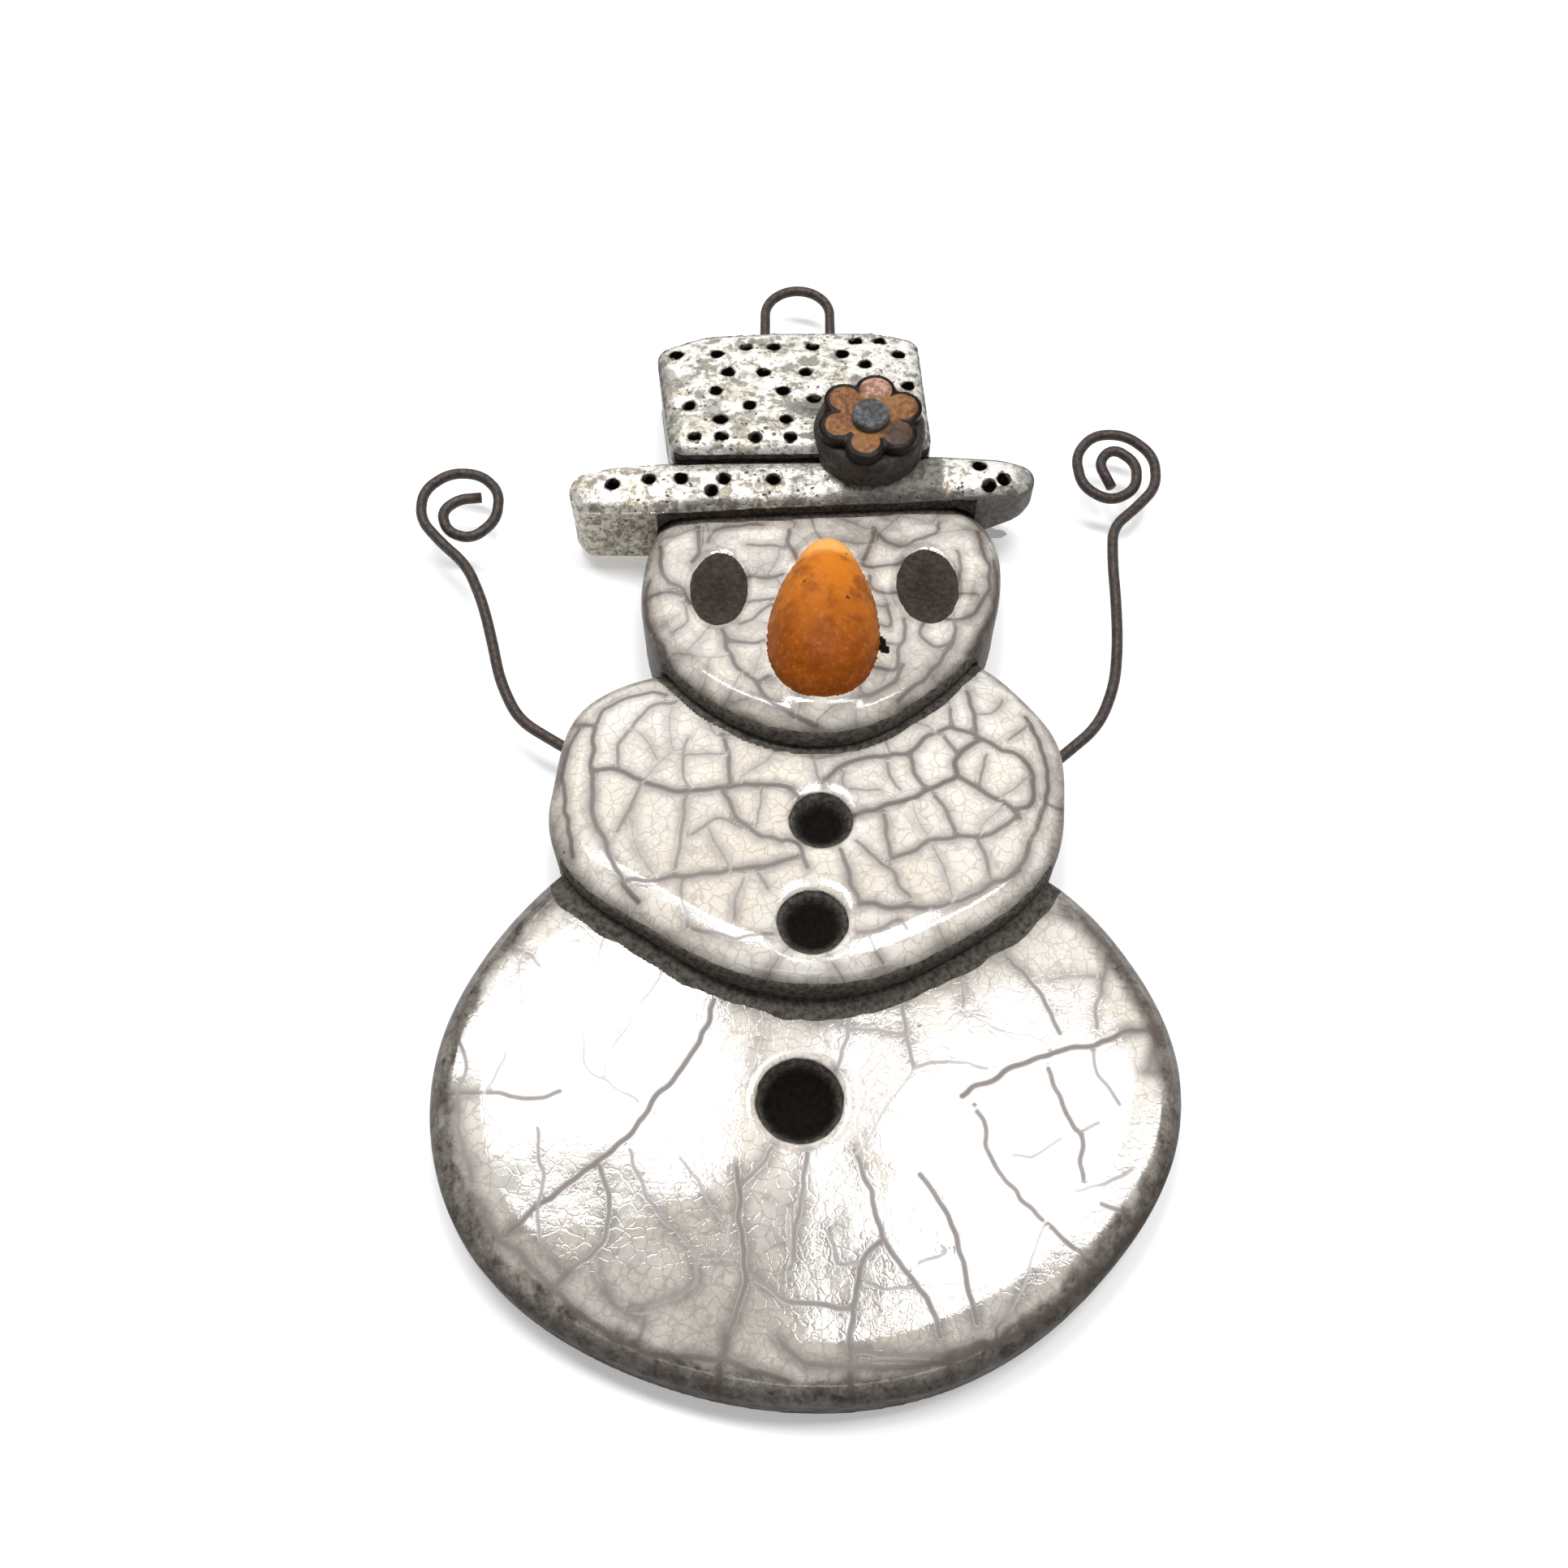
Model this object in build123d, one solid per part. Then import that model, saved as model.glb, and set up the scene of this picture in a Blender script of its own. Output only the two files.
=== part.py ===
from build123d import *
import os
from math import cos, radians, sin, tan

# Flat-backed snowman hanging ornament: lapped slabs of crackle-glazed clay with fired-in wires.
# Frame: +X to the right as seen from the front, +Z up towards the hat,
# front faces -Y.  The origin is the inside top of the hanging loop, where a hook bears.
# All sizes are in millimetres.

# --- driving dimensions -------------------------------------------------------------------
BACK_Y = 3.5              # every slab is laid out on one flat back plane, 3.5 behind the loop
WIRE_R = 0.51             # 18 gauge wire, 1.02 diameter
ARM_HEIGHT = 4.0          # wire arms leave the clay this far above the back plane
EDGE_R = 2.3              # softened front edge of the body slabs
BASE_THICK = 6.0          # lower body slab

# front surface of each lapped slab: (z, height) near its lower edge and near its upper edge
MIDDLE_FRONT = ((-78.6, 10.0), (-48.0, 7.2))
HEAD_FRONT = ((-56.5, 11.2), (-30.0, 6.8))
BRIM_FRONT = ((-31.0, 9.3), (-26.0, 9.3))
CROWN_FRONT = ((-26.3, 11.3), (-8.5, 8.0))

# --- slab outlines, (x, z) points of smooth closed curves -----------------------------------
BOTTOM_OUTLINE = [
    (-21.0, -67.2), (-26.0, -73.4), (-29.3, -81.2), (-29.3, -89.8), (-25.6, -98.0), (-16.7, -104.9),
    (-8.2, -108.0), (1.0, -109.2), (9.8, -108.0), (18.4, -103.8), (25.1, -97.6), (29.5, -90.2),
    (30.2, -81.8), (27.1, -74.0), (21.8, -67.7), (11.0, -62.9), (-1.0, -61.8), (-12.5, -63.2),
]
MIDDLE_OUTLINE = [
    (-21.5, -60.7), (-20.9, -65.4), (-18.6, -69.2), (-13.7, -72.8), (-7.4, -76.6), (-0.6, -78.5),
    (6.2, -77.9), (12.6, -74.9), (18.0, -71.2), (21.4, -66.8), (22.8, -60.5), (22.6, -54.9),
    (20.0, -50.4), (15.8, -46.3), (8.5, -44.6), (0.0, -45.2), (-7.5, -46.8), (-14.7, -48.3), (-19.6, -51.7),
]
HEAD_OUTLINE = [
    (-14.6, -38.6), (-14.1, -43.6), (-11.6, -49.2), (-7.0, -53.6), (-2.5, -55.9), (1.3, -56.5),
    (5.4, -55.9), (9.6, -53.5), (13.4, -50.2), (16.8, -45.4), (18.7, -38.4), (18.2, -32.4),
    (13.6, -27.6), (2.0, -24.6), (-8.4, -26.8), (-13.2, -31.6),
]
# the hat's two slabs have near-straight sides, so they are filleted polygons
BRIM_CORNERS = [
    (-20.3, -31.9), (-21.9, -29.7), (-21.1, -27.4), (-17.6, -26.4), (-8.0, -25.6), (13.0, -25.1), (19.2, -25.5),
    (21.9, -26.5), (22.5, -28.4), (21.0, -29.9), (2.0, -30.9), (-14.5, -31.9),
]
BRIM_CORNER_R = [1.5, 2.2, 2.2, 6.0, 30.0, 30.0, 8.0, 1.8, 1.7, 1.8, 60.0, 12.0]
CROWN_CORNERS = [
    (-12.1, -26.5), (-14.2, -11.6), (-9.4, -9.3), (-2.3, -8.6), (7.7, -8.6), (12.0, -10.0), (12.6, -26.2),
]
CROWN_CORNER_R = [1.8, 2.2, 6.0, 12.0, 6.0, 1.8, 1.8]
CROWN_EDGE_R = 1.2
BRIM_EDGE_R = 1.1
BRIM_LIFT = 1.3           # the strip of clay for the brim stays clear of the back plane
BRIM_TAPERS = [(15.0, 22.6, 4.6), (-17.0, -22.0, 1.8)]  # back thins from x, to x, by this much there

# --- unglazed pressed pits: (x, z, half width, half height, depth) ----------------------------
EYES = [(-7.3, -40.0, 2.6, 4.4, 0.8), (11.65, -39.7, 2.8, 4.5, 0.8)]
MIDDLE_BUTTONS = [(1.7, -63.4, 2.65, 2.6, 1.6), (0.9, -72.9, 2.85, 2.8, 1.7)]
BOTTOM_BUTTONS = [(-0.2, -86.7, 3.4, 3.35, 2.0)]

# --- needle pricks in the hat, in rows of constant z ------------------------------------------
PRICK_R = 0.58
PRICK_TIP_R = 0.2
PRICK_DEPTH = 1.4
CROWN_PRICKS = {
    -10.4: [5.7, 8.1], -11.4: [-5.1, -2.4, 1.4], -12.6: [-12.0, -8.0, 4.3, 9.9], -14.2: [6.5],
    -15.4: [-6.8, -3.4, 0.7], -17.2: [10.6], -18.2: [-8.0, -1.5], -19.4: [1.5], -20.3: [-10.5, -4.7],
    -22.3: [-7.4, -1.2], -24.6: [-9.8, -7.2, -4.1, -0.8],
}
BRIM_PRICKS = {-26.8: [17.0], -28.4: [-14.0, -11.0, -7.0, -2.4, 19.2], -29.0: [-17.4, 17.8], -29.7: [-8.2]}

# --- flower ---------------------------------------------------------------------------------
FLOWER_X, FLOWER_Z = 6.6, -24.3
FLOWER_BASE_R = 5.3
FLOWER_BASE_TOP = 12.2    # height of the pad's top above the back plane
PETAL_COUNT = 6
PETAL_FIRST_ANGLE = 80.0
PETAL_R = 1.9
PETAL_OFFSET = 3.1        # petal centres from the flower's centre
PETAL_THICK = 1.1
FLOWER_CORE_R = 3.3       # web that joins the petals
CENTRE_R = 1.85
CENTRE_THICK = 0.9

# --- carrot nose ------------------------------------------------------------------------------
NOSE_X, NOSE_LOW_Z = 1.7, -53.1
NOSE_LEAN = 3.0           # degrees, narrow end towards +X
NOSE_SINK = 0.6           # axis below the face
NOSE_PROFILE = [  # radius, distance from the low blunt end
    (2.4, 0.5), (4.1, 2.4), (4.85, 4.4), (5.1, 6.8), (4.95, 9.2),
    (4.5, 11.6), (3.95, 13.6), (3.15, 15.6), (2.4, 17.4), (1.5, 18.7),
]
NOSE_LENGTH = 19.3

# --- wires, (x, z) corners of each bent path ----------------------------------------------------
LEFT_ARM = [
    (-16.0, -57.2), (-21.9, -53.6), (-25.2, -51.4), (-27.2, -47.4), (-28.3, -43.0), (-29.6, -38.6),
    (-31.4, -34.6), (-34.2, -31.9), (-36.4, -29.2), (-36.4, -25.8), (-34.0, -23.7), (-31.0, -23.9),
    (-29.0, -26.0), (-29.0, -29.4), (-31.2, -31.6), (-33.6, -30.8), (-34.4, -28.4), (-32.9, -26.9), (-30.7, -26.7),
]
RIGHT_ARM = [
    (17.9, -59.6), (23.4, -55.0), (26.8, -52.0), (28.6, -47.8), (29.3, -43.4), (29.6, -38.8), (29.7, -34.2),
    (30.1, -30.2), (32.6, -27.9), (34.8, -25.4), (35.0, -21.6), (32.4, -19.0), (29.2, -19.0), (27.2, -21.6),
    (27.6, -25.4), (30.2, -27.2), (32.8, -25.7), (33.2, -22.5), (31.0, -20.6), (29.4, -22.4), (30.4, -25.4),
]
LOOP_CENTRE_R = 3.35      # centre line radius of the hanging loop
LOOP_TAIL_Z = -16.0       # the loop's legs run this far down inside the crown

BACK = Plane(origin=(0, BACK_Y, 0), x_dir=(1, 0, 0), z_dir=(0, -1, 0))


def front_height(front, z):
    """Height of a sloping front surface above the back plane, at z."""
    (z0, h0), (z1, h1) = front
    return h0 + (z - z0) * (h1 - h0) / (z1 - z0)


def face_plane(front, x, z, sink=0.0):
    """Plane on a sloping front surface: local x is +X, local y runs up the slope, local z points out."""
    (z0, h0), (z1, h1) = front
    slope = (h1 - h0) / (z1 - z0)
    out = Vector(0, -1, -slope).normalized()
    at = Vector(x, BACK_Y - front_height(front, z), z) - out * sink
    return Plane(origin=at, x_dir=(1, 0, 0), z_dir=out)


def flat_front(height):
    return ((0.0, height), (1.0, height))


def slab(outline_face, front, edge_r, lift=0.0):
    """Prism from the back plane, or lift above it, up to a sloping front with a rounded edge."""
    tallest = max(h for _, h in front) + 4
    prism = extrude(BACK.offset(lift) * outline_face, tallest)
    x, z = prism.center().X, prism.center().Z
    cut = split(prism, bisect_by=face_plane(front, x, z), keep=Keep.BOTTOM)
    edge = cut.faces().sort_by(Axis.Y)[0].edges()
    return fillet(edge, edge_r)


def smooth_face(points):
    return make_face(Spline(*points, periodic=True))


def pits(front, specs):
    """Shallow bowl-shaped cutters pressed square into a sloping front."""
    bowls = []
    for x, z, half_w, half_h, depth in specs:
        bowl = scale(Sphere(1), (half_w, half_h, depth))
        bowls.append(face_plane(front, x, z) * bowl)
    return bowls


def pricks(front, rows):
    cone = Location((0, 0, -PRICK_DEPTH / 2)) * Cone(PRICK_TIP_R, PRICK_R, PRICK_DEPTH)
    return [face_plane(front, x, z) * cone for z, xs in rows.items() for x in xs]


def cut_from(solid, tools):
    for tool in tools:
        solid = solid - tool
    return solid


def bend_radii(points):
    """Large tangent bends: 0.45 of the shorter run on each side of every corner."""
    radii = []
    for a, b, c in zip(points, points[1:], points[2:]):
        run_in, run_out = Vector(*b) - Vector(*a), Vector(*c) - Vector(*b)
        turn = run_in.get_angle(run_out)
        radii.append(0.45 * min(run_in.length, run_out.length) / tan(radians(turn / 2)))
    return radii


def bent_wire(points, height):
    """Round wire along straight runs and tangent arcs, in a plane parallel to the back."""
    radii = bend_radii(points)
    print("bend radii", [round(r, 1) for r in radii])
    plane = BACK.offset(height)
    path = plane * FilletPolyline(*points, radius=radii)
    return sweep((path ^ 0) * Circle(WIRE_R), path=path)


def hanger():
    """Inverted U of wire whose inner top is the origin."""
    crown_z = WIRE_R - LOOP_CENTRE_R      # centre of the loop's bend
    side = LOOP_CENTRE_R
    left = Line((-side, 0, LOOP_TAIL_Z), (-side, 0, crown_z))
    bend = ThreePointArc((-side, 0, crown_z), (0, 0, WIRE_R), (side, 0, crown_z))
    right = Line((side, 0, crown_z), (side, 0, LOOP_TAIL_Z))
    path = left + bend + right
    return sweep(Plane(origin=(-side, 0, LOOP_TAIL_Z), z_dir=(0, 0, 1)) * Circle(WIRE_R), path=path)


def cornered_face(corners, radii):
    return make_face(FilletPolyline(*corners, radius=radii, close=True))


def flower_pad():
    disc = extrude(BACK.offset(8.5) * Pos(FLOWER_X, FLOWER_Z) * Circle(FLOWER_BASE_R), FLOWER_BASE_TOP - 8.5)
    rim = disc.faces().sort_by(Axis.Y)[0].edges()
    return fillet(rim, 1.0)


def petals():
    sketch = Circle(FLOWER_CORE_R)
    for i in range(PETAL_COUNT):
        angle = radians(PETAL_FIRST_ANGLE + i * 360 / PETAL_COUNT)
        sketch += Pos(PETAL_OFFSET * cos(angle), PETAL_OFFSET * sin(angle)) * Circle(PETAL_R)
    body = extrude(BACK.offset(FLOWER_BASE_TOP) * Pos(FLOWER_X, FLOWER_Z) * sketch, PETAL_THICK)
    return fillet(body.faces().sort_by(Axis.Y)[0].edges(), 0.25)


def flower_button():
    start = FLOWER_BASE_TOP + PETAL_THICK
    body = extrude(BACK.offset(start) * Pos(FLOWER_X, FLOWER_Z - 0.4) * Circle(CENTRE_R), CENTRE_THICK)
    return fillet(body.faces().sort_by(Axis.Y)[0].edges(), 0.45)


def nose():
    """Pear-shaped body of revolution, blunt end down, pressed flat against the face."""
    half = Spline((0, 0), *NOSE_PROFILE, (0, NOSE_LENGTH))
    profile = make_face(half + Line((0, NOSE_LENGTH), (0, 0)))
    body = revolve(profile, Axis.Y)
    placed = face_plane(HEAD_FRONT, NOSE_X, NOSE_LOW_Z, NOSE_SINK) * Rot(Z=-NOSE_LEAN) * body
    return split(placed, bisect_by=face_plane(HEAD_FRONT, NOSE_X, NOSE_LOW_Z), keep=Keep.TOP)


def build():
    bottom = cut_from(slab(smooth_face(BOTTOM_OUTLINE), flat_front(BASE_THICK), EDGE_R),
                      pits(flat_front(BASE_THICK), BOTTOM_BUTTONS))
    middle = slab(smooth_face(MIDDLE_OUTLINE), MIDDLE_FRONT, EDGE_R) - bottom
    head = slab(smooth_face(HEAD_OUTLINE), HEAD_FRONT, EDGE_R) - middle
    brim = slab(cornered_face(BRIM_CORNERS, BRIM_CORNER_R), BRIM_FRONT, BRIM_EDGE_R, BRIM_LIFT) - head
    crown = slab(cornered_face(CROWN_CORNERS, CROWN_CORNER_R), CROWN_FRONT, CROWN_EDGE_R) - brim - head

    left_arm, right_arm = bent_wire(LEFT_ARM, ARM_HEIGHT), bent_wire(RIGHT_ARM, ARM_HEIGHT)
    loop = hanger()
    pad = flower_pad() - crown - brim

    middle = cut_from(middle - left_arm - right_arm, pits(MIDDLE_FRONT, MIDDLE_BUTTONS))
    head = cut_from(head, pits(HEAD_FRONT, EYES))
    brim = cut_from(brim, pricks(BRIM_FRONT, BRIM_PRICKS))
    for start, end, rise in BRIM_TAPERS:
        back = BACK_Y - BRIM_LIFT
        wedge = Polygon((start, back), (end, back - rise), (end * 1.1, back - rise * 1.1),
                        (end * 1.1, back + 1), (start, back + 1), align=None)
        brim = cut_from(brim, Pos(0, 0, -40) * extrude(wedge, 20))
    crown = cut_from(crown - loop, pricks(CROWN_FRONT, CROWN_PRICKS))
    return {
        "bottom_slab": bottom, "middle_slab": middle, "head_slab": head, "hat_brim": brim,
        "hat_crown": crown, "flower_base": pad, "flower_petals": petals(), "flower_centre": flower_button(),
        "carrot_nose": nose(), "left_arm_wire": left_arm, "right_arm_wire": right_arm, "hanger_loop": loop,
    }


os.makedirs("parts", exist_ok=True)
for name, shape in build().items():
    solids = shape.solids()
    print(name, "solids", len(solids), "volume", round(shape.volume, 1))
    export_step(solids[0] if len(solids) == 1 else shape, f"parts/{name}.step")
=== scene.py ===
import math
import bpy
import numpy as np
from mathutils import Matrix, Vector, kdtree, noise


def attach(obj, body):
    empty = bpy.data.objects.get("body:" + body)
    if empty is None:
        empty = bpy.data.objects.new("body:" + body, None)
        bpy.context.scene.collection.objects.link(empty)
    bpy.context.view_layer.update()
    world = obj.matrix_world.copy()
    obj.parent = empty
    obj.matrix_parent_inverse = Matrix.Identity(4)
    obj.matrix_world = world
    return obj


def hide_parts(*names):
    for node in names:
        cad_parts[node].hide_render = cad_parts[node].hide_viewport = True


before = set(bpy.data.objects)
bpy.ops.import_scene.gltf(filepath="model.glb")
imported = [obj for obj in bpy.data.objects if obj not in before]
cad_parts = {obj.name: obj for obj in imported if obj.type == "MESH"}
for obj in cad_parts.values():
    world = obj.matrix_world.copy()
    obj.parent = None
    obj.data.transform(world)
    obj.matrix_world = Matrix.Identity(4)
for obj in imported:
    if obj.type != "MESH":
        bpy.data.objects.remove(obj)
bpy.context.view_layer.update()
MM = 0.001           # everything is shaped in millimetres; the scene is in metres
FAR = 99.0           # a distance in mm that stands for "nowhere near"
BACK_SKIN = 0.25     # mm of height above the back plane that still counts as the back

# ------------------------------------ shared dimensions (mm), as in the CAD
# pits: x, z, half width, half height
EYES = [(-7.3, -40.0, 2.6, 4.4), (11.65, -39.7, 2.8, 4.5)]
MIDDLE_BUTTONS = [(1.7, -63.4, 2.65, 2.6), (0.9, -72.9, 2.85, 2.8)]
BOTTOM_BUTTONS = [(-0.2, -86.7, 3.4, 3.35)]
FRONTS = {  # (z, height above the back plane) at the low and the high end of each front face
    "bottom_slab": ((-109.0, 6.0), (-62.0, 6.0)),
    "middle_slab": ((-78.6, 10.0), (-48.0, 7.2)),
    "head_slab": ((-56.5, 11.2), (-30.0, 6.8)),
    "hat_brim": ((-31.0, 9.3), (-26.0, 9.3)),
    "hat_crown": ((-26.3, 11.3), (-8.5, 8.0)),
}
BACK_Y = 3.5
FLOWER = (6.6, -24.3)
PETAL_ANGLES = range(80, 440, 60)
PETAL_R, PETAL_OFFSET, PETAL_CORE_R = 1.9, 3.1, 3.3
PETAL_UNDERSIDE_Y = -9.45


# ------------------------------------ mesh helpers
def mesh_arrays(mesh):
    co = np.empty(len(mesh.vertices) * 3, np.float32)
    mesh.vertices.foreach_get("co", co)
    no = np.empty(len(mesh.vertices) * 3, np.float32)
    mesh.vertices.foreach_get("normal", no)
    return co.reshape(-1, 3).astype(float), no.reshape(-1, 3).astype(float)


def put_vertices(mesh, co):
    mesh.vertices.foreach_set("co", co.astype(np.float32).ravel())
    mesh.update()


def neighbour_smooth(mesh, co, rounds, amount=0.5):
    edges = np.empty(len(mesh.edges) * 2, np.int32)
    mesh.edges.foreach_get("vertices", edges)
    a, b = edges.reshape(-1, 2).T
    count = np.bincount(a, minlength=len(co)) + np.bincount(b, minlength=len(co))
    for _ in range(rounds):
        total = np.zeros_like(co)
        for k in range(3):
            total[:, k] = np.bincount(a, co[b, k], len(co)) + np.bincount(b, co[a, k], len(co))
        co = co + amount * (total / np.maximum(count, 1)[:, None] - co)
    return co


def fine_copy(node, name, voxel=None, smooth=2):
    """A new object, in millimetres while it is being shaped, copied from a CAD node."""
    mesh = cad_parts[node].data.copy()
    mesh.transform(Matrix.Scale(1.0 / MM, 4))
    obj = bpy.data.objects.new(name, mesh)
    bpy.context.scene.collection.objects.link(obj)
    if voxel:
        mod = obj.modifiers.new("fine", "REMESH")
        mod.mode, mod.voxel_size, mod.adaptivity = "VOXEL", voxel, 0.0
    else:
        mod = obj.modifiers.new("weld", "WELD")
        mod.merge_threshold = 0.002
    bpy.context.view_layer.update()
    done = bpy.data.meshes.new_from_object(obj.evaluated_get(bpy.context.evaluated_depsgraph_get()))
    obj.modifiers.clear()
    obj.data = done
    if voxel and smooth:
        co, _ = mesh_arrays(done)
        put_vertices(done, neighbour_smooth(done, co, smooth))
    done.polygons.foreach_set("use_smooth", np.ones(len(done.polygons), bool))
    done.update()
    return obj


def finish_piece(obj, node, material):
    obj.data.transform(Matrix.Scale(MM, 4))
    obj.data.materials.clear()
    obj.data.materials.append(material)
    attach(obj, "root")
    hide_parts(node)


def set_float(mesh, name, values):
    mesh.attributes.new(name, "FLOAT", "POINT").data.foreach_set("value", values.astype(np.float32))


def set_vector(mesh, name, values):
    mesh.attributes.new(name, "FLOAT_VECTOR", "POINT").data.foreach_set(
        "vector", values.astype(np.float32).ravel())


def smoothstep(lo, hi, v):
    t = np.clip((v - lo) / (hi - lo), 0, 1)
    return t * t * (3 - 2 * t)


def fbm(points, scale, octaves=3):
    """Fractal noise about 0, one value for each point in millimetres."""
    return np.array([noise.fractal(Vector(p) / scale, 1.0, 2.0, octaves) for p in points])


def front_height(node, z):
    (z0, h0), (z1, h1) = FRONTS[node]
    return h0 + (z - z0) * (h1 - h0) / (z1 - z0)


# ------------------------------------ outlines in the x, z plane
def hull(points):
    """Convex outline of 2-D points, anticlockwise."""
    pts = sorted(set(map(tuple, np.round(points, 3))))
    def half(seq):
        out = []
        for p in seq:
            while len(out) > 1 and ((out[-1][0] - out[-2][0]) * (p[1] - out[-2][1])
                                    - (out[-1][1] - out[-2][1]) * (p[0] - out[-2][0])) <= 0:
                out.pop()
            out.append(p)
        return out[:-1]
    return np.array(half(pts) + half(pts[::-1]))


def outline_of(node):
    co, _ = mesh_arrays(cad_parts[node].data)
    return hull(co[:, [0, 2]] * 1000)


def inside_depth(p, poly):
    """Signed distance of 2-D points to an outline, positive inside."""
    a, b = poly, np.roll(poly, -1, axis=0)
    best = np.full(len(p), 1e9)
    inside = np.ones(len(p), bool)
    for (ax, az), (bx, bz) in zip(a, b):
        ex, ez = bx - ax, bz - az
        t = np.clip(((p[:, 0] - ax) * ex + (p[:, 1] - az) * ez) / (ex * ex + ez * ez), 0, 1)
        best = np.minimum(best, np.hypot(p[:, 0] - ax - t * ex, p[:, 1] - az - t * ez))
        inside &= ex * (p[:, 1] - az) - ez * (p[:, 0] - ax) >= 0
    return np.where(inside, best, -best)


def pit_gap(p, pits):
    """Distance past the edge of the nearest pit: negative inside one, FAR beyond nine of its radii."""
    nearest, gap = np.full(len(p), 9.0), np.full(len(p), FAR)
    for cx, cz, a, b in pits:
        radii = np.hypot((p[:, 0] - cx) / a, (p[:, 1] - cz) / b)
        gap = np.where(radii < nearest, (radii - 1) * (a + b) / 2, gap)
        nearest = np.minimum(nearest, radii)
    return gap


# ------------------------------------ crackle: laid cracks, then cells split in two
CRACK_STEP = 0.12    # mm between the points of a crack


def resample(points):
    """Points a CRACK_STEP apart on a soft curve through the laid points."""
    pts = np.array(points, float).reshape(-1, 2)
    fine = []
    ext = np.vstack([2 * pts[0] - pts[1], pts, 2 * pts[-1] - pts[-2]])
    for i in range(1, len(ext) - 2):
        p0, p1, p2, p3 = ext[i - 1:i + 3]
        n = max(2, int(np.linalg.norm(p2 - p1) / CRACK_STEP))
        for t in np.arange(n) / n:
            fine.append(0.5 * (2 * p1 + (p2 - p0) * t + (2 * p0 - 5 * p1 + 4 * p2 - p3) * t * t
                               + (3 * p1 - p0 - 3 * p2 + p3) * t ** 3))
    fine.append(pts[-1])
    return np.array(fine)


def waver(line, amount, phase):
    """Small sideways irregularity, as a crack in glaze has."""
    out = line.copy()
    for i, p in enumerate(line):
        out[i, 0] += amount * noise.noise(Vector((p[0] / 1.3, p[1] / 1.3, phase)))
        out[i, 1] += amount * noise.noise(Vector((p[0] / 1.3, p[1] / 1.3, phase + 7.7)))
    return out


def grow_cracks(poly, pits, laid, stop_at, seed):
    """Splits the emptiest cell again and again, until every middle is within stop_at of a crack.

    Returns (x, z, strength) samples of the laid and the grown cracks."""
    grid = 0.3
    rnd = np.random.default_rng(seed)
    lo, hi = poly.min(0) - 0.5, poly.max(0) + 0.5
    nx, nz = int((hi[0] - lo[0]) / grid) + 2, int((hi[1] - lo[1]) / grid) + 2
    gx, gz = lo[0] + np.arange(nx) * grid, lo[1] + np.arange(nz) * grid
    cells = np.stack(np.meshgrid(gx, gz, indexing="ij"), -1).reshape(-1, 2)
    depth = inside_depth(cells, poly)
    gap = pit_gap(cells, pits)
    dist = np.minimum(np.maximum(depth, 0) + 0.6, np.maximum(gap, 0) + 0.3)
    dist[(depth < 0.2) | (gap < 0)] = -1
    blocked = dist < 0
    samples = []

    def at(p):
        """Distance to the nearest crack or edge at a point, -1 outside, and its slope along x and z."""
        i = int((p[0] - lo[0]) / grid + 0.5)
        j = int((p[1] - lo[1]) / grid + 0.5)
        if i < 1 or j < 1 or i >= nx - 1 or j >= nz - 1:
            return -1.0, 0.0, 0.0
        k = i * nz + j
        return dist[k], dist[k + nz] - dist[k - nz], dist[k + 1] - dist[k - 1]

    def add(line, strength):
        for s in range(0, len(line), 3):
            q = line[s]
            near = (np.abs(cells[:, 0] - q[0]) < 8) & (np.abs(cells[:, 1] - q[1]) < 8)
            d = np.hypot(cells[near, 0] - q[0], cells[near, 1] - q[1])
            dist[near] = np.where(blocked[near], -1, np.minimum(dist[near], d))
        samples.append(np.column_stack([line, np.full(len(line), strength)]))

    for strength, points in laid:
        add(waver(resample(points), 0.25, strength), strength)

    def walk(start, angle, bend):
        """A crack's path that turns to meet the next crack squarely and ends on it."""
        path, p, a = [start], np.array(start), angle
        for n in range(260):
            d, dx, dz = at(p)
            if d < 0:
                break
            if n > 3 and d < 0.32:
                cloud = np.vstack([s[:, :2] for s in samples])
                k = np.argmin(((cloud - p) ** 2).sum(1))
                if np.hypot(*(cloud[k] - p)) < 0.7:
                    path.append(cloud[k])
                break
            if n > 3 and d < 1.0:
                want = math.atan2(-dz, -dx)
                turn = (want - a + math.pi) % (2 * math.pi) - math.pi
                a += 0.22 * turn
            a += bend * CRACK_STEP + rnd.normal(0, 0.055)
            p = p + CRACK_STEP * np.array([math.cos(a), math.sin(a)])
            path.append(p.copy())
        return path

    for _ in range(400):
        noisy = dist + rnd.normal(0, 0.18, dist.shape) * (dist > 0)
        k = int(np.argmax(noisy))
        size = dist[k]
        if size < stop_at:
            break
        start = cells[k] + rnd.uniform(-0.5, 0.5, 2) * size
        if at(start)[0] < 0.4:
            start = cells[k]
        best = None
        for _ in range(7):
            angle = rnd.uniform(0, math.pi)
            reach = 0.0
            for s in (angle, angle + math.pi):
                q, steps = np.array(start), 0
                while at(q)[0] > 0.3 and steps < 60:
                    q = q + 0.45 * np.array([math.cos(s), math.sin(s)])
                    steps += 1
                reach += steps
            if best is None or reach < best[0]:
                best = (reach, angle)
        bend = rnd.normal(0, 0.10)
        line = np.array(walk(start, best[1] + math.pi, -bend)[::-1][:-1] + walk(start, best[1], bend))
        if len(line) < 4:
            blocked[k] = True
            dist[k] = -1
            continue
        strength = float(np.clip(0.12 + 0.05 * size + rnd.normal(0, 0.07), 0.08, 0.4))
        add(line, strength)
    return np.vstack(samples)


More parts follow.
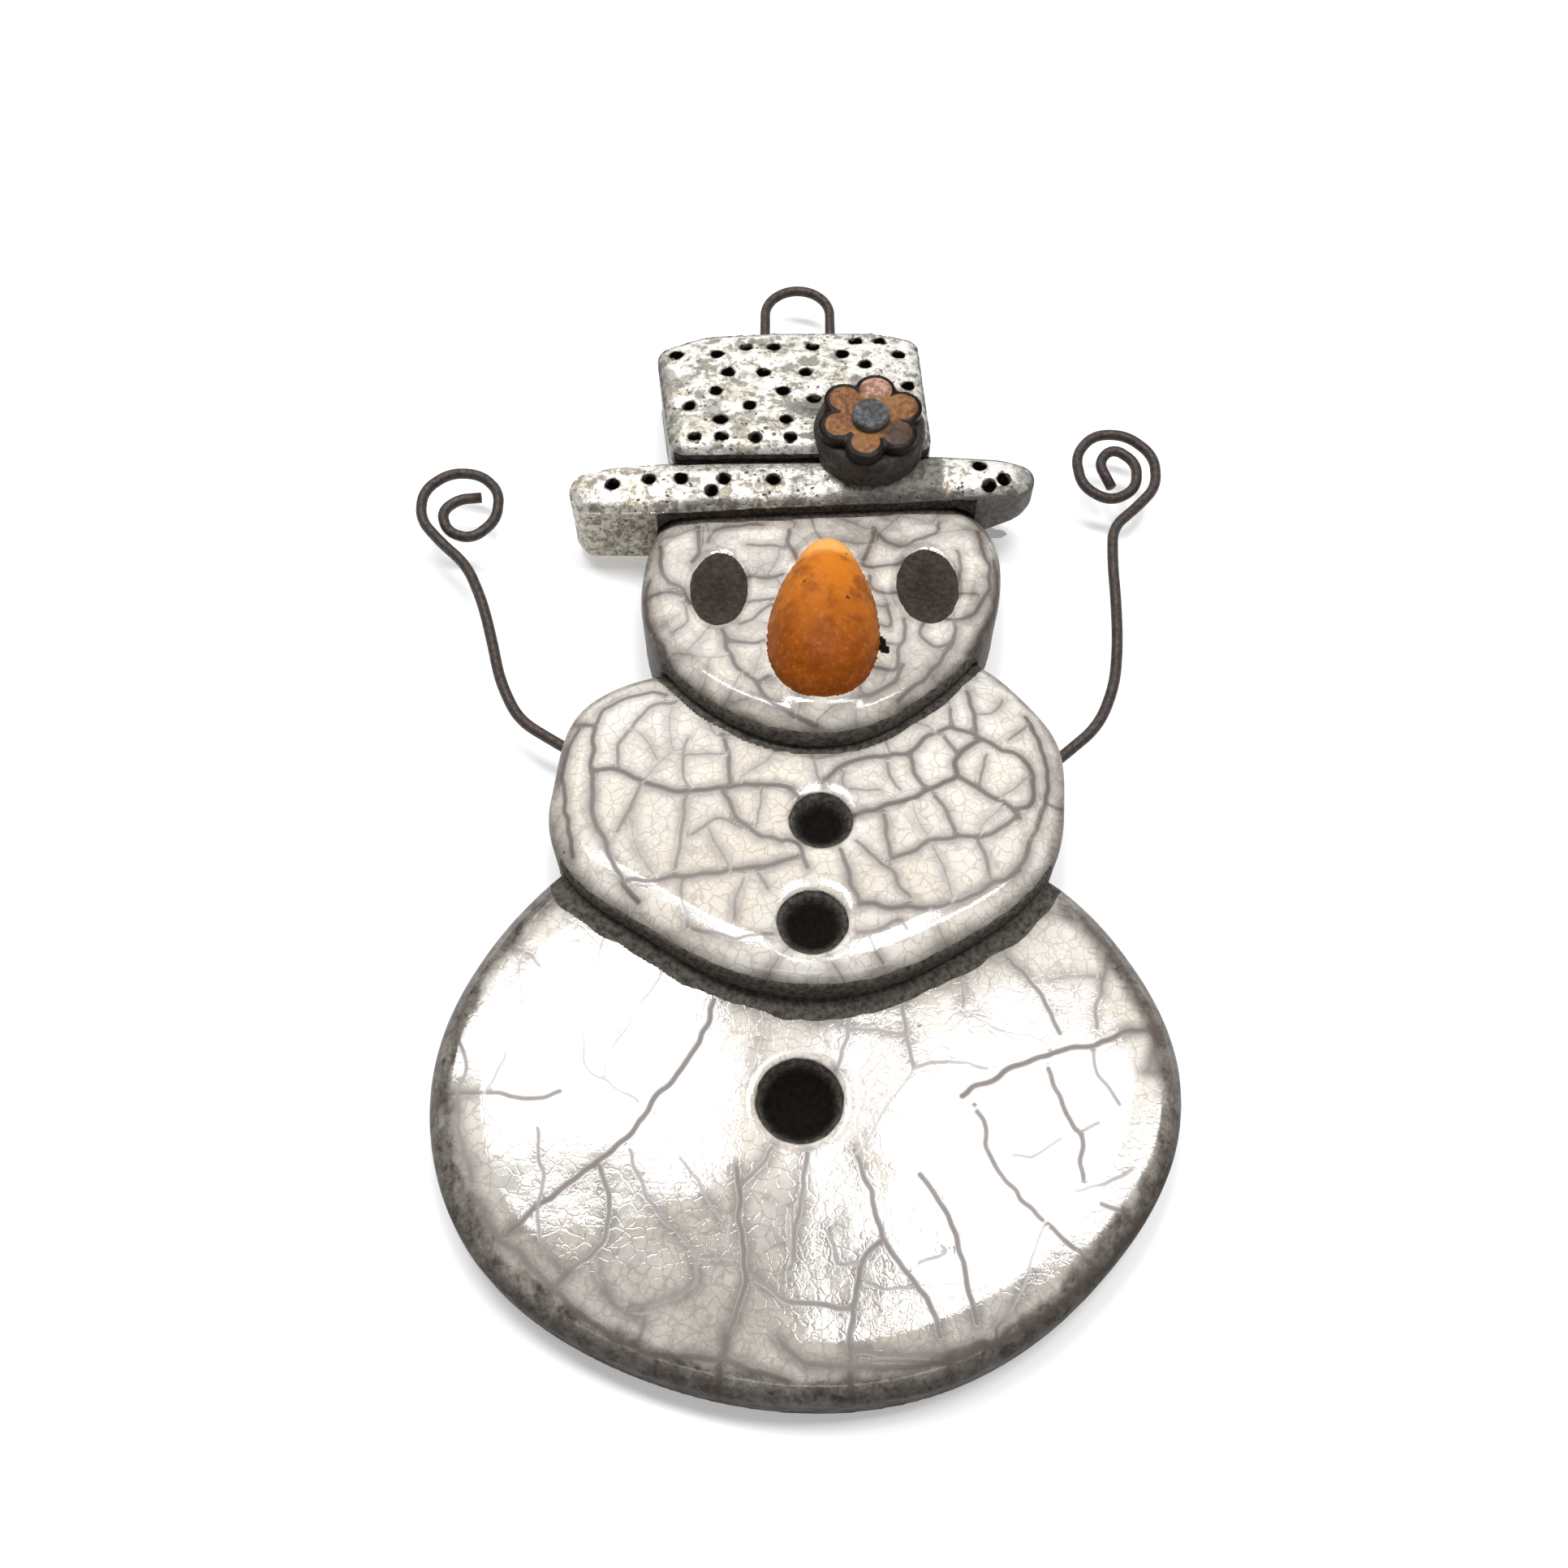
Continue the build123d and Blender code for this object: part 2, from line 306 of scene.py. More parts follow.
def paint_cracks(mesh, samples):
    """Per vertex: the offset to the nearest crack, its length, and that crack's strength."""
    co, _ = mesh_arrays(mesh)
    tree = kdtree.KDTree(len(samples))
    for i, (x, z, _) in enumerate(samples):
        tree.insert((x, z, 0.0), i)
    tree.balance()
    offset, strength = np.zeros((len(co), 3)), np.zeros(len(co))
    for i, (x, z) in enumerate(co[:, [0, 2]]):
        q, k, d = tree.find((x, z, 0.0))
        offset[i] = (q[0] - x, q[1] - z, 0.0)
        strength[i] = samples[k, 2]
    set_vector(mesh, "crack_offset", offset)
    set_float(mesh, "crack_distance", np.linalg.norm(offset, axis=1))
    set_float(mesh, "crack_strength", strength)


# needle pricks in the hat, as in the CAD: z, then each x along that row
PRICKS = {
    "hat_crown": [
        (-10.4, (5.7, 8.1)), (-11.4, (-5.1, -2.4, 1.4)), (-12.6, (-12.0, -8.0, 4.3, 9.9)),
        (-14.2, (6.5,)), (-15.4, (-6.8, -3.4, 0.7)), (-17.2, (10.6,)), (-18.2, (-8.0, -1.5)),
        (-19.4, (1.5,)), (-20.3, (-10.5, -4.7)), (-22.3, (-7.4, -1.2)), (-24.6, (-9.8, -7.2, -4.1, -0.8)),
    ],
    "hat_brim": [
        (-26.8, (17.0,)), (-28.4, (-14.0, -11.0, -7.0, -2.4, 19.2)), (-29.0, (-17.4, 17.8)),
        (-29.7, (-8.2,)),
    ],
}
PRICKS = {node: [(x, z) for z, xs in rows for x in xs] for node, rows in PRICKS.items()}

CRACKS = {  # the main cracks: strength, then the x, z of each point that it runs through in turn
    "bottom_slab": [
        (1, (-7, -78.5, -7.6, -80.8, -8.9, -83.2, -10.3, -85.3, -11.6, -86.6, -12.8, -88.7,
            -14.7, -90.7, -17.1, -92.5, -19.2, -94.2, -21.1, -95.7, -22.2, -96.9)),
        (0.85, (-15.6, -92, -14.9, -94, -14.8, -95.9, -15.1, -97.6, -16.5, -99, -17.9, -100.2,
            -18.7, -101.4)),
        (1, (-5, -92.1, -4.7, -94, -4.7, -96.4, -4.4, -98.8, -4.4, -100.7, -5, -102.8, -5.7, -104.8,
            -6, -106.4, -6.2, -108.2)),
        (0.85, (-2.3, -90.5, -3.4, -92.1, -4.5, -93.2)),
        (0.6, (-13.4, -90.6, -12.6, -92.5, -11.3, -94.9, -10, -96.4, -8.5, -97.8, -8, -99,
            -8.2, -100.7, -9.8, -101.8, -12.7, -102.3)),
        (0.5, (-8, -98.5, -6.8, -98.8, -5.3, -98.8)),
        (0.6, (-20.6, -89, -20.3, -91, -19.9, -93, -20.1, -95.2, -20, -96.9, -19.2, -98.3,
            -18.1, -99.5)),
        (0.8, (-28.7, -86.4, -26.6, -86.2, -24.6, -86.1, -22.6, -86.4, -20.8, -86.6, -19, -86)),
        (0.6, (-27.1, -78.1, -27.6, -81.1, -26.6, -83.8, -27.1, -86.4, -26.6, -89.5, -25.3, -93)),
        (0.5, (-23.4, -82.2, -24.1, -84.3, -24.9, -86.1)),
        (0.45, (-17.5, -80.5, -17.1, -83.8, -15.2, -85.3, -12.8, -86.9)),
        (0.8, (-25.2, -94, -23.2, -96.9, -20.8, -99, -18.5, -101.1, -16, -103, -13, -104.8,
            -10.2, -105.7, -6.8, -105.9, -4, -106.6, -1.2, -107.5)),
        (0.55, (-15.1, -101.1, -13.1, -102.8, -11.7, -103.4, -12.1, -104.6)),
        (0.5, (-9.4, -91.2, -8.1, -92.7, -7.1, -94.7, -6.1, -95.9)),
        (0.5, (-15.5, -99, -15, -100.9)),
        (0.6, (-24.6, -73.6, -22.4, -74.4, -21.3, -75.6)),
        (0.75, (-3.6, -100.2, -2.1, -101.4, -0.7, -102.1)),
        (0.45, (-0.9, -95.2, -1, -97.4, -0.9, -100.2)),
        (0.5, (-9.9, -105.5, -9.7, -106.6, -9.1, -107.9)),
        (1, (12.6, -86.3, 14.6, -85.2, 17.1, -83.9, 19.2, -83.2, 21.2, -82.5, 23.2, -82.2, 25.5, -81.3,
            27.5, -80.9, 29.1, -81.3)),
        (0.85, (16.6, -74.7, 18.2, -76.2, 19.5, -78.3, 20.7, -81.3)),
        (0.75, (8.2, -78, 8.2, -79.5, 8.6, -82.2, 8.8, -84.2)),
        (0.7, (4, -79.7, 3.5, -81.9, 2.7, -84.2)),
        (0.6, (3.6, -80.7, 6.1, -81, 8.3, -81.4)),
        (0.55, (8.9, -83.9, 10.8, -83.6, 12.7, -83.6, 14.6, -84.2)),
        (0.65, (13.2, -76.8, 13.1, -79.2)),
        (0.7, (25, -74.7, 24.5, -77.1, 23.7, -79.2, 23.7, -80.7)),
        (0.7, (23.8, -71.6, 25.6, -74.4, 27, -77.4, 27.7, -79.2, 28.6, -80.7)),
        (0.75, (28.3, -81.3, 27.7, -83.9, 27.1, -84.5, 29.1, -84.3)),
        (0.7, (23.1, -82.8, 23.5, -84.8, 24.9, -87)),
        (0.9, (19.6, -84.2, 20.3, -86.7, 21.2, -88.7, 21.8, -89.5, 21.5, -91.4, 21.5, -92.8)),
        (0.6, (22, -89.2, 23.1, -88.5)),
        (0.85, (13.6, -87, 14.2, -88.7, 14.4, -90.9, 15.5, -92.8, 17, -94.7, 18.4, -96.2, 20.4, -98)),
        (0.85, (20.7, -98.2, 21.4, -99.1, 22.7, -99.6, 24.1, -97.8, 25.9, -96, 27.8, -93.8,
            28.8, -91.4)),
        (0.7, (22.9, -94.7, 24.1, -95.2, 25.1, -96)),
        (0.9, (4.1, -90.6, 4.7, -92.5, 5.3, -93.8, 5.6, -95.7, 6.2, -97.5, 7.4, -99.3, 8.7, -100.9,
            9.4, -102.4, 10.1, -104.3)),
        (0.9, (9, -92.4, 10, -93.8, 11, -95.7, 11.7, -97.8, 12.1, -99.8, 12.4, -101.6, 13, -103.4)),
        (0.95, (5.9, -97.7, 4.7, -98.6, 4.3, -100.1, 3.8, -102.1, 3.5, -104.1, 3.4, -106.1,
            3.6, -108.7)),
        (0.85, (0.3, -90.9, 0.1, -93.6, -0.4, -95.7, -0.8, -98, -1, -100.3)),
        (0.85, (-1.8, -101.6, -0.2, -102.1, 1.6, -102.2, 3.4, -102.4)),
        (0.5, (4.7, -100.6, 6.1, -100.9, 7.9, -100.9)),
        (0.5, (8.8, -99.1, 10.6, -98.3, 10.4, -97.8)),
        (0.6, (1.9, -96.8, 2.7, -99.1, 4.3, -99.1)),
        (0.9, (-1.8, -104.6, 0.3, -106.3, 3.4, -106.5, 6.4, -106.5, 9, -106.3, 11.6, -105.8,
            14.7, -104.6, 17.9, -102.9, 20.7, -100.6, 22.7, -99.6)),
        (0.75, (3.6, -105.3, 5.9, -105.6, 8.5, -105.6, 10.3, -105.6, 13.4, -104.8)),
        (0.7, (10.6, -105.1, 10.7, -107.5)),
        (0.6, (16.4, -103.4, 17.2, -104.6)),
        (0.6, (22.6, -99.8, 22.8, -100.9)),
        (0.5, (21, -93.8, 23, -93.3, 25.5, -92.2)),
        (0.5, (16.1, -91, 18.3, -91, 20, -89.8)),
        (0.5, (20.1, -76.8, 21.9, -76.4, 23.9, -76.5)),
    ],
    "middle_slab": [
        (0.95, (-17.6, -58.5, -15.9, -58.6, -13.3, -59.7, -11.4, -60.4, -9.6, -60.7, -7.8, -60.5,
            -5.7, -60.2, -3, -60, -1.1, -60.5, -0.3, -61.2)),
        (0.8, (-6.6, -60.5, -5.9, -62, -5, -63.6, -3.4, -65, -1.8, -65.5, -1, -65.4, 0.1, -66.4,
            0.5, -68)),
        (0.85, (-14, -69.1, -12.2, -69.3, -10.2, -68.9, -7.6, -68.6, -4.9, -68.2, -2.5, -67.8,
            -0.5, -67.1)),
        (0.8, (-6.7, -54.9, -6.3, -56.8, -6.1, -58.5, -5.8, -60.1)),
        (0.9, (-17.9, -54.3, -17.9, -57.1, -17.7, -60.4, -17.3, -63.3, -16.4, -65.4, -15.5, -67.5,
            -14.4, -69.5, -13.2, -71)),
        (0.8, (-19.4, -53.9, -20.1, -56, -20.4, -58.2, -20.1, -60.9, -19.5, -63.9, -18.9, -66.7)),
        (0.8, (-19.5, -53.5, -18, -53.9, -17, -51.9, -15.4, -50.9, -13.3, -50.4, -11.8, -50.6)),
        (0.6, (-10.8, -51.5, -12.9, -52, -14.3, -53.7, -15.5, -55.7, -15.6, -58.2)),
        (0.55, (-13.4, -60.1, -14.1, -61.7, -14.9, -63.3, -15.4, -64.6)),
        (0.5, (-9.7, -60.9, -9.8, -63.3, -10.1, -65.4, -10.2, -68)),
        (0.45, (-9.6, -69.2, -9.6, -71.2, -9.2, -73.2)),
        (0.6, (-8.7, -73.4, -6.5, -74.2, -4.8, -74.4, -2.4, -74)),
        (0.45, (-9.7, -55.4, -10.1, -57.1, -10.1, -59, -9.4, -60.4)),
        (0.35, (-9.9, -57, -6.5, -56.9)),
        (0.4, (-4.7, -69, -5.2, -70.7, -5.4, -72.9)),
        (0.4, (-3.2, -60.5, -3.3, -62.3, -3.6, -63.9)),
        (0.45, (-3.6, -68.7, -2.7, -70)),
        (0.5, (-9.1, -64.9, -7.7, -63.7, -6.3, -63.5, -5, -64.4)),
        (1, (4.6, -62.9, 6.1, -62.6, 8.2, -61.8, 9.8, -61.1, 11.4, -60.4, 12.5, -59.7, 13.2, -59,
            13.4, -57.5, 14.1, -56.5, 15.4, -55.7)),
        (0.9, (13.2, -59.1, 14.7, -60.1, 16.2, -61.3, 17.6, -62.4, 18.3, -63.4)),
        (0.9, (1.9, -59.9, 3.2, -58.4, 5, -57.5, 7.1, -57.2, 9.2, -56.8, 10.4, -55.8, 12.2, -54.5,
            13.4, -54.3, 15, -55, 16.6, -56.1, 18.4, -57, 19.5, -58.2, 19.8, -60.1, 19.4, -62,
            18.4, -62.5)),
        (0.8, (9.5, -57.2, 9.7, -58.7, 10.4, -60.1, 11.2, -60.6)),
        (0.85, (14.8, -50.5, 15, -52.3, 15.2, -53.5, 15.1, -55)),
        (0.7, (13.1, -52, 13.3, -53.8)),
        (0.7, (12.5, -55.3, 13.3, -56.5, 13.4, -57.5)),
        (0.85, (19.9, -53, 20.6, -55.3, 21.1, -57.7, 21, -60.1, 20.4, -62.5, 19.4, -64.8, 18.4, -67.1,
            17.5, -68.7)),
        (0.7, (6.9, -63, 7.1, -64.6, 7.5, -66.9)),
        (0.8, (7.6, -67.2, 9.4, -66.4, 11.2, -65.5, 13, -65.2, 15, -65.1, 16.6, -64.4, 18.1, -63.3)),
        (0.7, (11.4, -61.1, 12.1, -62.5, 12.5, -63.9, 12.8, -65.2)),
        (0.8, (3.2, -66.4, 3.8, -68, 4.1, -69.8, 4.7, -71.3)),
        (0.95, (4.7, -71.4, 6.6, -71.6, 8.5, -71.8, 10.5, -71.8, 12.4, -71.3, 14.4, -70.3, 16.2, -69.3,
            18.1, -68.2)),
        (0.6, (4.7, -65.5, 5.8, -66.7, 6.8, -67.8, 7.5, -68.5, 8.2, -70, 8.8, -70.9)),
        (0.6, (14.6, -65.3, 15.1, -66.7, 15.3, -68.5, 15.4, -69.1)),
        (0.5, (16.1, -57, 15.5, -58.5, 15.3, -60.1)),
        (0.6, (4.6, -73.9, 6, -73.9, 7.3, -73, 7.9, -72.8, 8.5, -73.7)),
        (0.5, (5.4, -73.9, 5.8, -75.4, 6.5, -76.4)),
        (0.5, (7.3, -58, 7.9, -59.7, 8.5, -60.6)),
        (0.4, (3.7, -58.7, 4, -60.4, 6.8, -60.6)),
        (0.6, (22.2, -61.9, 20.6, -62, 19.8, -63.9, 19.1, -65.5)),
        (0.5, (18.1, -55.5, 19.2, -54.5, 19.7, -53.8)),
        (0.4, (15.4, -52.8, 16.9, -52.5, 17.8, -51)),
    ],
    "head_slab": [
        (0.85, (-9.4, -32.5, -9.2, -35.1, -9.7, -36.8)),
        (0.8, (-12.9, -34.4, -12.8, -36.8, -11.9, -39.1, -10.4, -40.5, -9.8, -41.8)),
        (0.75, (-13.7, -40.8, -12.1, -40.8, -10.4, -41)),
        (0.7, (-8.4, -34.4, -7.7, -33, -5.4, -32.3, -3.4, -32.2)),
        (0.9, (-0.8, -32.6, -1, -34.4, -0.4, -36.1, -0.1, -37.1)),
        (0.7, (-4.8, -34.7, -2.9, -34.9, -1.1, -35.1)),
        (0.8, (-4.5, -38.6, -3.1, -39, -1.6, -38.8)),
        (0.8, (7, -32.6, 7.9, -34, 9.3, -34.9, 10.9, -34, 12.7, -33.3, 13.1, -31.9)),
        (0.8, (7, -32.6, 6.7, -34.7, 5.8, -36.8)),
        (0.8, (5.8, -37.6, 7.5, -37.6, 9.1, -37.1, 9.8, -36.4)),
        (0.7, (6.3, -38.8, 6.6, -40.5, 7.9, -40.8, 8.9, -40.5)),
        (0.7, (-4.5, -41.8, -3.3, -41.6, -2.3, -41.5)),
        (0.7, (-5.3, -44.5, -4.2, -44, -3.5, -43.1, -2.6, -42.4)),
        (0.75, (-6.8, -46.3, -5.2, -46.6, -3.3, -46.6)),
        (0.85, (-6.9, -45.3, -6.3, -47.8, -5.3, -49.7, -3.9, -50.9, -2.8, -50.7)),
        (0.85, (-3.9, -51, -3.2, -52.4, -2, -53.6, -0.4, -54.7, 1.4, -55.5)),
        (0.8, (-13.7, -38.8, -13.9, -41.5, -13.4, -44, -12.1, -46.6, -11.5, -48.5)),
        (0.8, (16.8, -32.6, 16.9, -34.7, 17.4, -37.5, 17, -40.5, 15.8, -42.8, 14.1, -44, 12.6, -43.4)),
        (0.8, (17.9, -36.1, 18.2, -38.8, 17.6, -41.8, 16.1, -45.3, 15, -47.2)),
        (0.7, (14.6, -35.4, 14.7, -37.8, 14.3, -40.5, 16, -40.8)),
        (0.7, (13.8, -44, 13.4, -46.3, 12.3, -48.8, 10.3, -50.9, 8.4, -52.7)),
        (0.8, (6.6, -49.7, 8.3, -49.7, 8.6, -47.8, 9.4, -45.3, 9.2, -44)),
        (0.6, (7, -46.9, 8.7, -47)),
        (0.7, (11.2, -43.7, 10.6, -45.6, 11.7, -47.2, 13.2, -46.6)),
        (0.6, (8, -42.3, 8, -44.7, 6.8, -44.7)),
        (0.8, (4.9, -53, 6.5, -52.4, 8, -51.2, 9, -49.1)),
        (0.5, (-10.6, -41.8, -10, -44, -11.2, -45.3)),
    ],
}


# ------------------------------------ shader helpers
class Nodes:
    def __init__(self, name):
        self.mat = bpy.data.materials.new(name)
        self.mat.use_nodes = True
        self.tree = self.mat.node_tree
        self.tree.nodes.clear()
        self.out = self.add("ShaderNodeOutputMaterial")
        self.bsdf = self.add("ShaderNodeBsdfPrincipled")
        self.link(self.bsdf.outputs[0], self.out.inputs["Surface"])

    def add(self, kind, **props):
        node = self.tree.nodes.new(kind)
        for k, v in props.items():
            setattr(node, k, v)
        return node

    def link(self, a, b):
        self.tree.links.new(a, b)

    def feed(self, socket, value):
        if isinstance(value, bpy.types.NodeSocket):
            self.link(value, socket)
        else:
            socket.default_value = value

    def math(self, op, a, b, c=None, clamp=False):
        node = self.add("ShaderNodeMath", operation=op, use_clamp=clamp)
        for socket, v in zip(node.inputs, (a, b) if c is None else (a, b, c)):
            self.feed(socket, v)
        return node.outputs[0]

    def times(self, a, b, clamp=False):
        return self.math("MULTIPLY", a, b, clamp=clamp)

    def plus(self, a, b):
        return self.math("ADD", a, b)

    def minus(self, a, b):
        return self.math("SUBTRACT", a, b)

    def most(self, a, b):
        return self.math("MAXIMUM", a, b)

    def attr(self, name, kind="Fac"):
        return self.add("ShaderNodeAttribute", attribute_name=name).outputs[kind]

    def coords(self):
        """The point on the object, in millimetres."""
        node = self.add("ShaderNodeNewGeometry")
        scale = self.add("ShaderNodeVectorMath", operation="SCALE")
        self.link(node.outputs["Position"], scale.inputs[0])
        scale.inputs["Scale"].default_value = 1.0 / MM
        return scale.outputs[0]

    def noise(self, vec, size, detail=3.0, rough=0.5, out="Fac"):
        node = self.add("ShaderNodeTexNoise")
        self.feed(node.inputs["Vector"], vec)
        node.inputs["Scale"].default_value = 1.0 / size
        node.inputs["Detail"].default_value = detail
        node.inputs["Roughness"].default_value = rough
        return node.outputs[out]

    def voronoi(self, vec, size, feature="DISTANCE_TO_EDGE"):
        node = self.add("ShaderNodeTexVoronoi", feature=feature)
        self.feed(node.inputs["Vector"], vec)
        node.inputs["Scale"].default_value = 1.0 / size
        return node.outputs["Distance"]

    def warp(self, vec, size, amount):
        col = self.noise(vec, size, 2.0, out="Color")
        shift = self.add("ShaderNodeVectorMath", operation="SUBTRACT")
        self.link(col, shift.inputs[0])
        shift.inputs[1].default_value = (0.5, 0.5, 0.5)
        scale = self.add("ShaderNodeVectorMath", operation="SCALE")
        self.link(shift.outputs[0], scale.inputs[0])
        scale.inputs["Scale"].default_value = amount
        add = self.add("ShaderNodeVectorMath", operation="ADD")
        self.link(vec, add.inputs[0])
        self.link(scale.outputs[0], add.inputs[1])
        return add.outputs[0]

    def ramp(self, value, lo, hi, to_lo=0.0, to_hi=1.0, smooth=True):
        node = self.add("ShaderNodeMapRange", interpolation_type="SMOOTHSTEP" if smooth else "LINEAR")
        self.feed(node.inputs["Value"], value)
        for name, v in (("From Min", lo), ("From Max", hi), ("To Min", to_lo), ("To Max", to_hi)):
            self.feed(node.inputs[name], v)
        return node.outputs["Result"]

    def mix(self, fac, a, b):
        node = self.add("ShaderNodeMix", data_type="RGBA")
        self.feed(node.inputs["Factor"], fac)
        for socket, v in ((node.inputs[6], a), (node.inputs[7], b)):
            self.feed(socket, v if isinstance(v, bpy.types.NodeSocket) else (*v, 1.0))
        return node.outputs[2]

    def mottle(self, vec, dark, pale):
        """Fine patches of two colours, as on bare clay."""
        return self.mix(self.ramp(self.noise(vec, 0.5, 4.0, 0.7), 0.3, 0.7), dark, pale)

    def bump(self, height, distance, strength):
        node = self.add("ShaderNodeBump")
        node.inputs["Strength"].default_value = strength
        node.inputs["Distance"].default_value = distance * MM
        self.link(height, node.inputs["Height"])
        return node.outputs["Normal"]

    def set(self, **sockets):
        for name, v in sockets.items():
            socket = self.bsdf.inputs[name.replace("_", " ")]
            if isinstance(v, tuple) and len(v) == 3:
                v = (*v, 1.0)
            self.feed(socket, v)


def bare_clay(n, raw, colour, normal):
    """Lays an almost matt clay over the glaze where raw is 1."""
    clay, mix = n.add("ShaderNodeBsdfPrincipled"), n.add("ShaderNodeMixShader")
    n.link(colour, clay.inputs["Base Color"])
    n.link(normal, clay.inputs["Normal"])
    clay.inputs["Roughness"].default_value = 0.72
    clay.inputs["Specular IOR Level"].default_value = 0.05
    n.link(raw, mix.inputs[0])
    n.link(n.bsdf.outputs[0], mix.inputs[1])
    n.link(clay.outputs[0], mix.inputs[2])
    n.link(mix.outputs[0], n.out.inputs["Surface"])


def crack_lines(n):
    """The crackle's thin core and soft halo, both 0 to 1, and the distance in mm to a crack."""
    length = n.add("ShaderNodeVectorMath", operation="LENGTH")
    n.link(n.attr("crack_offset", "Vector"), length.inputs[0])
    far = n.attr("crack_distance")
    use_far = n.ramp(far, 0.32, 0.5)
    exact = n.plus(n.times(length.outputs["Value"], n.minus(1.0, use_far)), n.times(far, use_far))
    strength = n.attr("crack_strength")
    wide = n.math("MULTIPLY_ADD", strength, 0.21, 0.045)
    core = n.minus(1.0, n.ramp(exact, n.times(wide, 0.35), n.times(wide, 1.45)))
    core = n.times(core, n.ramp(strength, 0.0, 1.0, 0.15, 1.0, smooth=False))
    halo_w = n.math("MULTIPLY_ADD", strength, 0.9, 0.25)
    halo = n.minus(1.0, n.ramp(exact, 0.0, halo_w))
    halo = n.times(halo, n.ramp(strength, 0.1, 1.0, 0.05, 1.0, smooth=False))
    return core, halo, exact


def crackle_glaze():
    n = Nodes("crackle_glaze")
    p = n.coords()
    core, halo, exact = crack_lines(n)
    smoke, bare, pit_shade = n.attr("smoke"), n.attr("bare"), n.attr("pit_shade")
    grain = n.noise(p, 0.32, 3.0, 0.7)
    # glaze body: creamy cell centres, cooler grey near the cracks
    cream = n.mix(n.ramp(n.noise(p, 8.0, 2.0), 0.35, 0.65), (0.80, 0.765, 0.70), (0.79, 0.725, 0.625))
    cool = n.mix(n.ramp(n.noise(p, 3.0, 3.0), 0.35, 0.65), (0.50, 0.47, 0.435), (0.64, 0.60, 0.55))
    body = n.mix(n.ramp(exact, 0.1, 1.3), cool, cream)
    body = n.mix(n.ramp(grain, 0.45, 0.72, 0.0, 0.26), body, (0.40, 0.35, 0.30))
    # fine crazing
    q = n.warp(p, 1.3, 1.1)
    fine = n.minus(1.0, n.ramp(n.voronoi(q, 1.15), 0.0, 0.085))
    finer = n.minus(1.0, n.ramp(n.voronoi(q, 0.62), 0.0, 0.11))
    patch = n.ramp(n.noise(p, 4.0, 2.0), 0.38, 0.62)
    lines = n.most(n.times(fine, 0.55),
                   n.times(n.times(finer, patch), 0.38))
    body = n.mix(lines, body, (0.42, 0.34, 0.285))
    body = n.mix(n.times(halo, 0.60), body, (0.25, 0.215, 0.195))
    # smoke drawn in at the edges
    drift = n.ramp(n.noise(p, 1.6, 4.0, 0.65), 0.25, 0.75, 0.68, 1.38, smooth=False)
    haze = n.times(n.times(smoke, drift), 0.9, clamp=True)
    streak = n.mix(n.ramp(n.noise(n.warp(p, 2.0, 2.0), 0.8, 4.0, 0.65), 0.35, 0.65),
                   (0.050, 0.041, 0.034), (0.165, 0.143, 0.123))
    body = n.mix(haze, body, streak)
    body = n.mix(n.times(core, 0.92), body, (0.095, 0.070, 0.060))
    # pinholes
    holes = n.minus(1.0, n.ramp(n.voronoi(p, 5.5, "F1"), 0.025, 0.045))
    body = n.mix(n.times(holes, 0.85), body, (0.06, 0.03, 0.02))
    # bare smoked clay; painted shade blackens it with depth in the pressed pits
    clay = n.mottle(p, (0.038, 0.033, 0.027), (0.135, 0.122, 0.106))
    clay = n.mix(n.times(n.attr("eye"), 0.6), clay, (0.026, 0.018, 0.013))
    clay = n.mix(n.times(pit_shade, 0.95), clay, (0.0020, 0.0018, 0.0012))
    rim = n.plus(bare, n.times(n.minus(n.noise(p, 0.5, 2.0), 0.5), 0.25))
    raw = n.ramp(rim, 0.42, 0.58)
    gloss = n.plus(n.ramp(n.noise(p, 2.5, 3.0), 0.3, 0.7, 0.05, 0.10),
                   n.times(core, 0.35))
    peel = n.plus(n.noise(p, 0.8, 3.0, 0.55), n.times(n.most(core, lines), -0.45))
    normal = n.bump(peel, 0.013, 0.6)
    n.set(Base_Color=body, Roughness=gloss, Normal=normal)
    n.bsdf.inputs["IOR"].default_value = 1.60
    # sooty bare clay on the side walls, with painted shade that is heavier on walls facing down
    wall = n.times(n.attr("wall"), 0.92)
    sooty_and_shaded = n.mix(0.58, body, (0.026, 0.021, 0.017))
    rough = n.bump(n.noise(p, 0.3, 4.0, 0.7), 0.16, 0.9)
    bare_clay(n, n.most(raw, wall), n.mix(raw, sooty_and_shaded, clay), rough)
    return n.mat


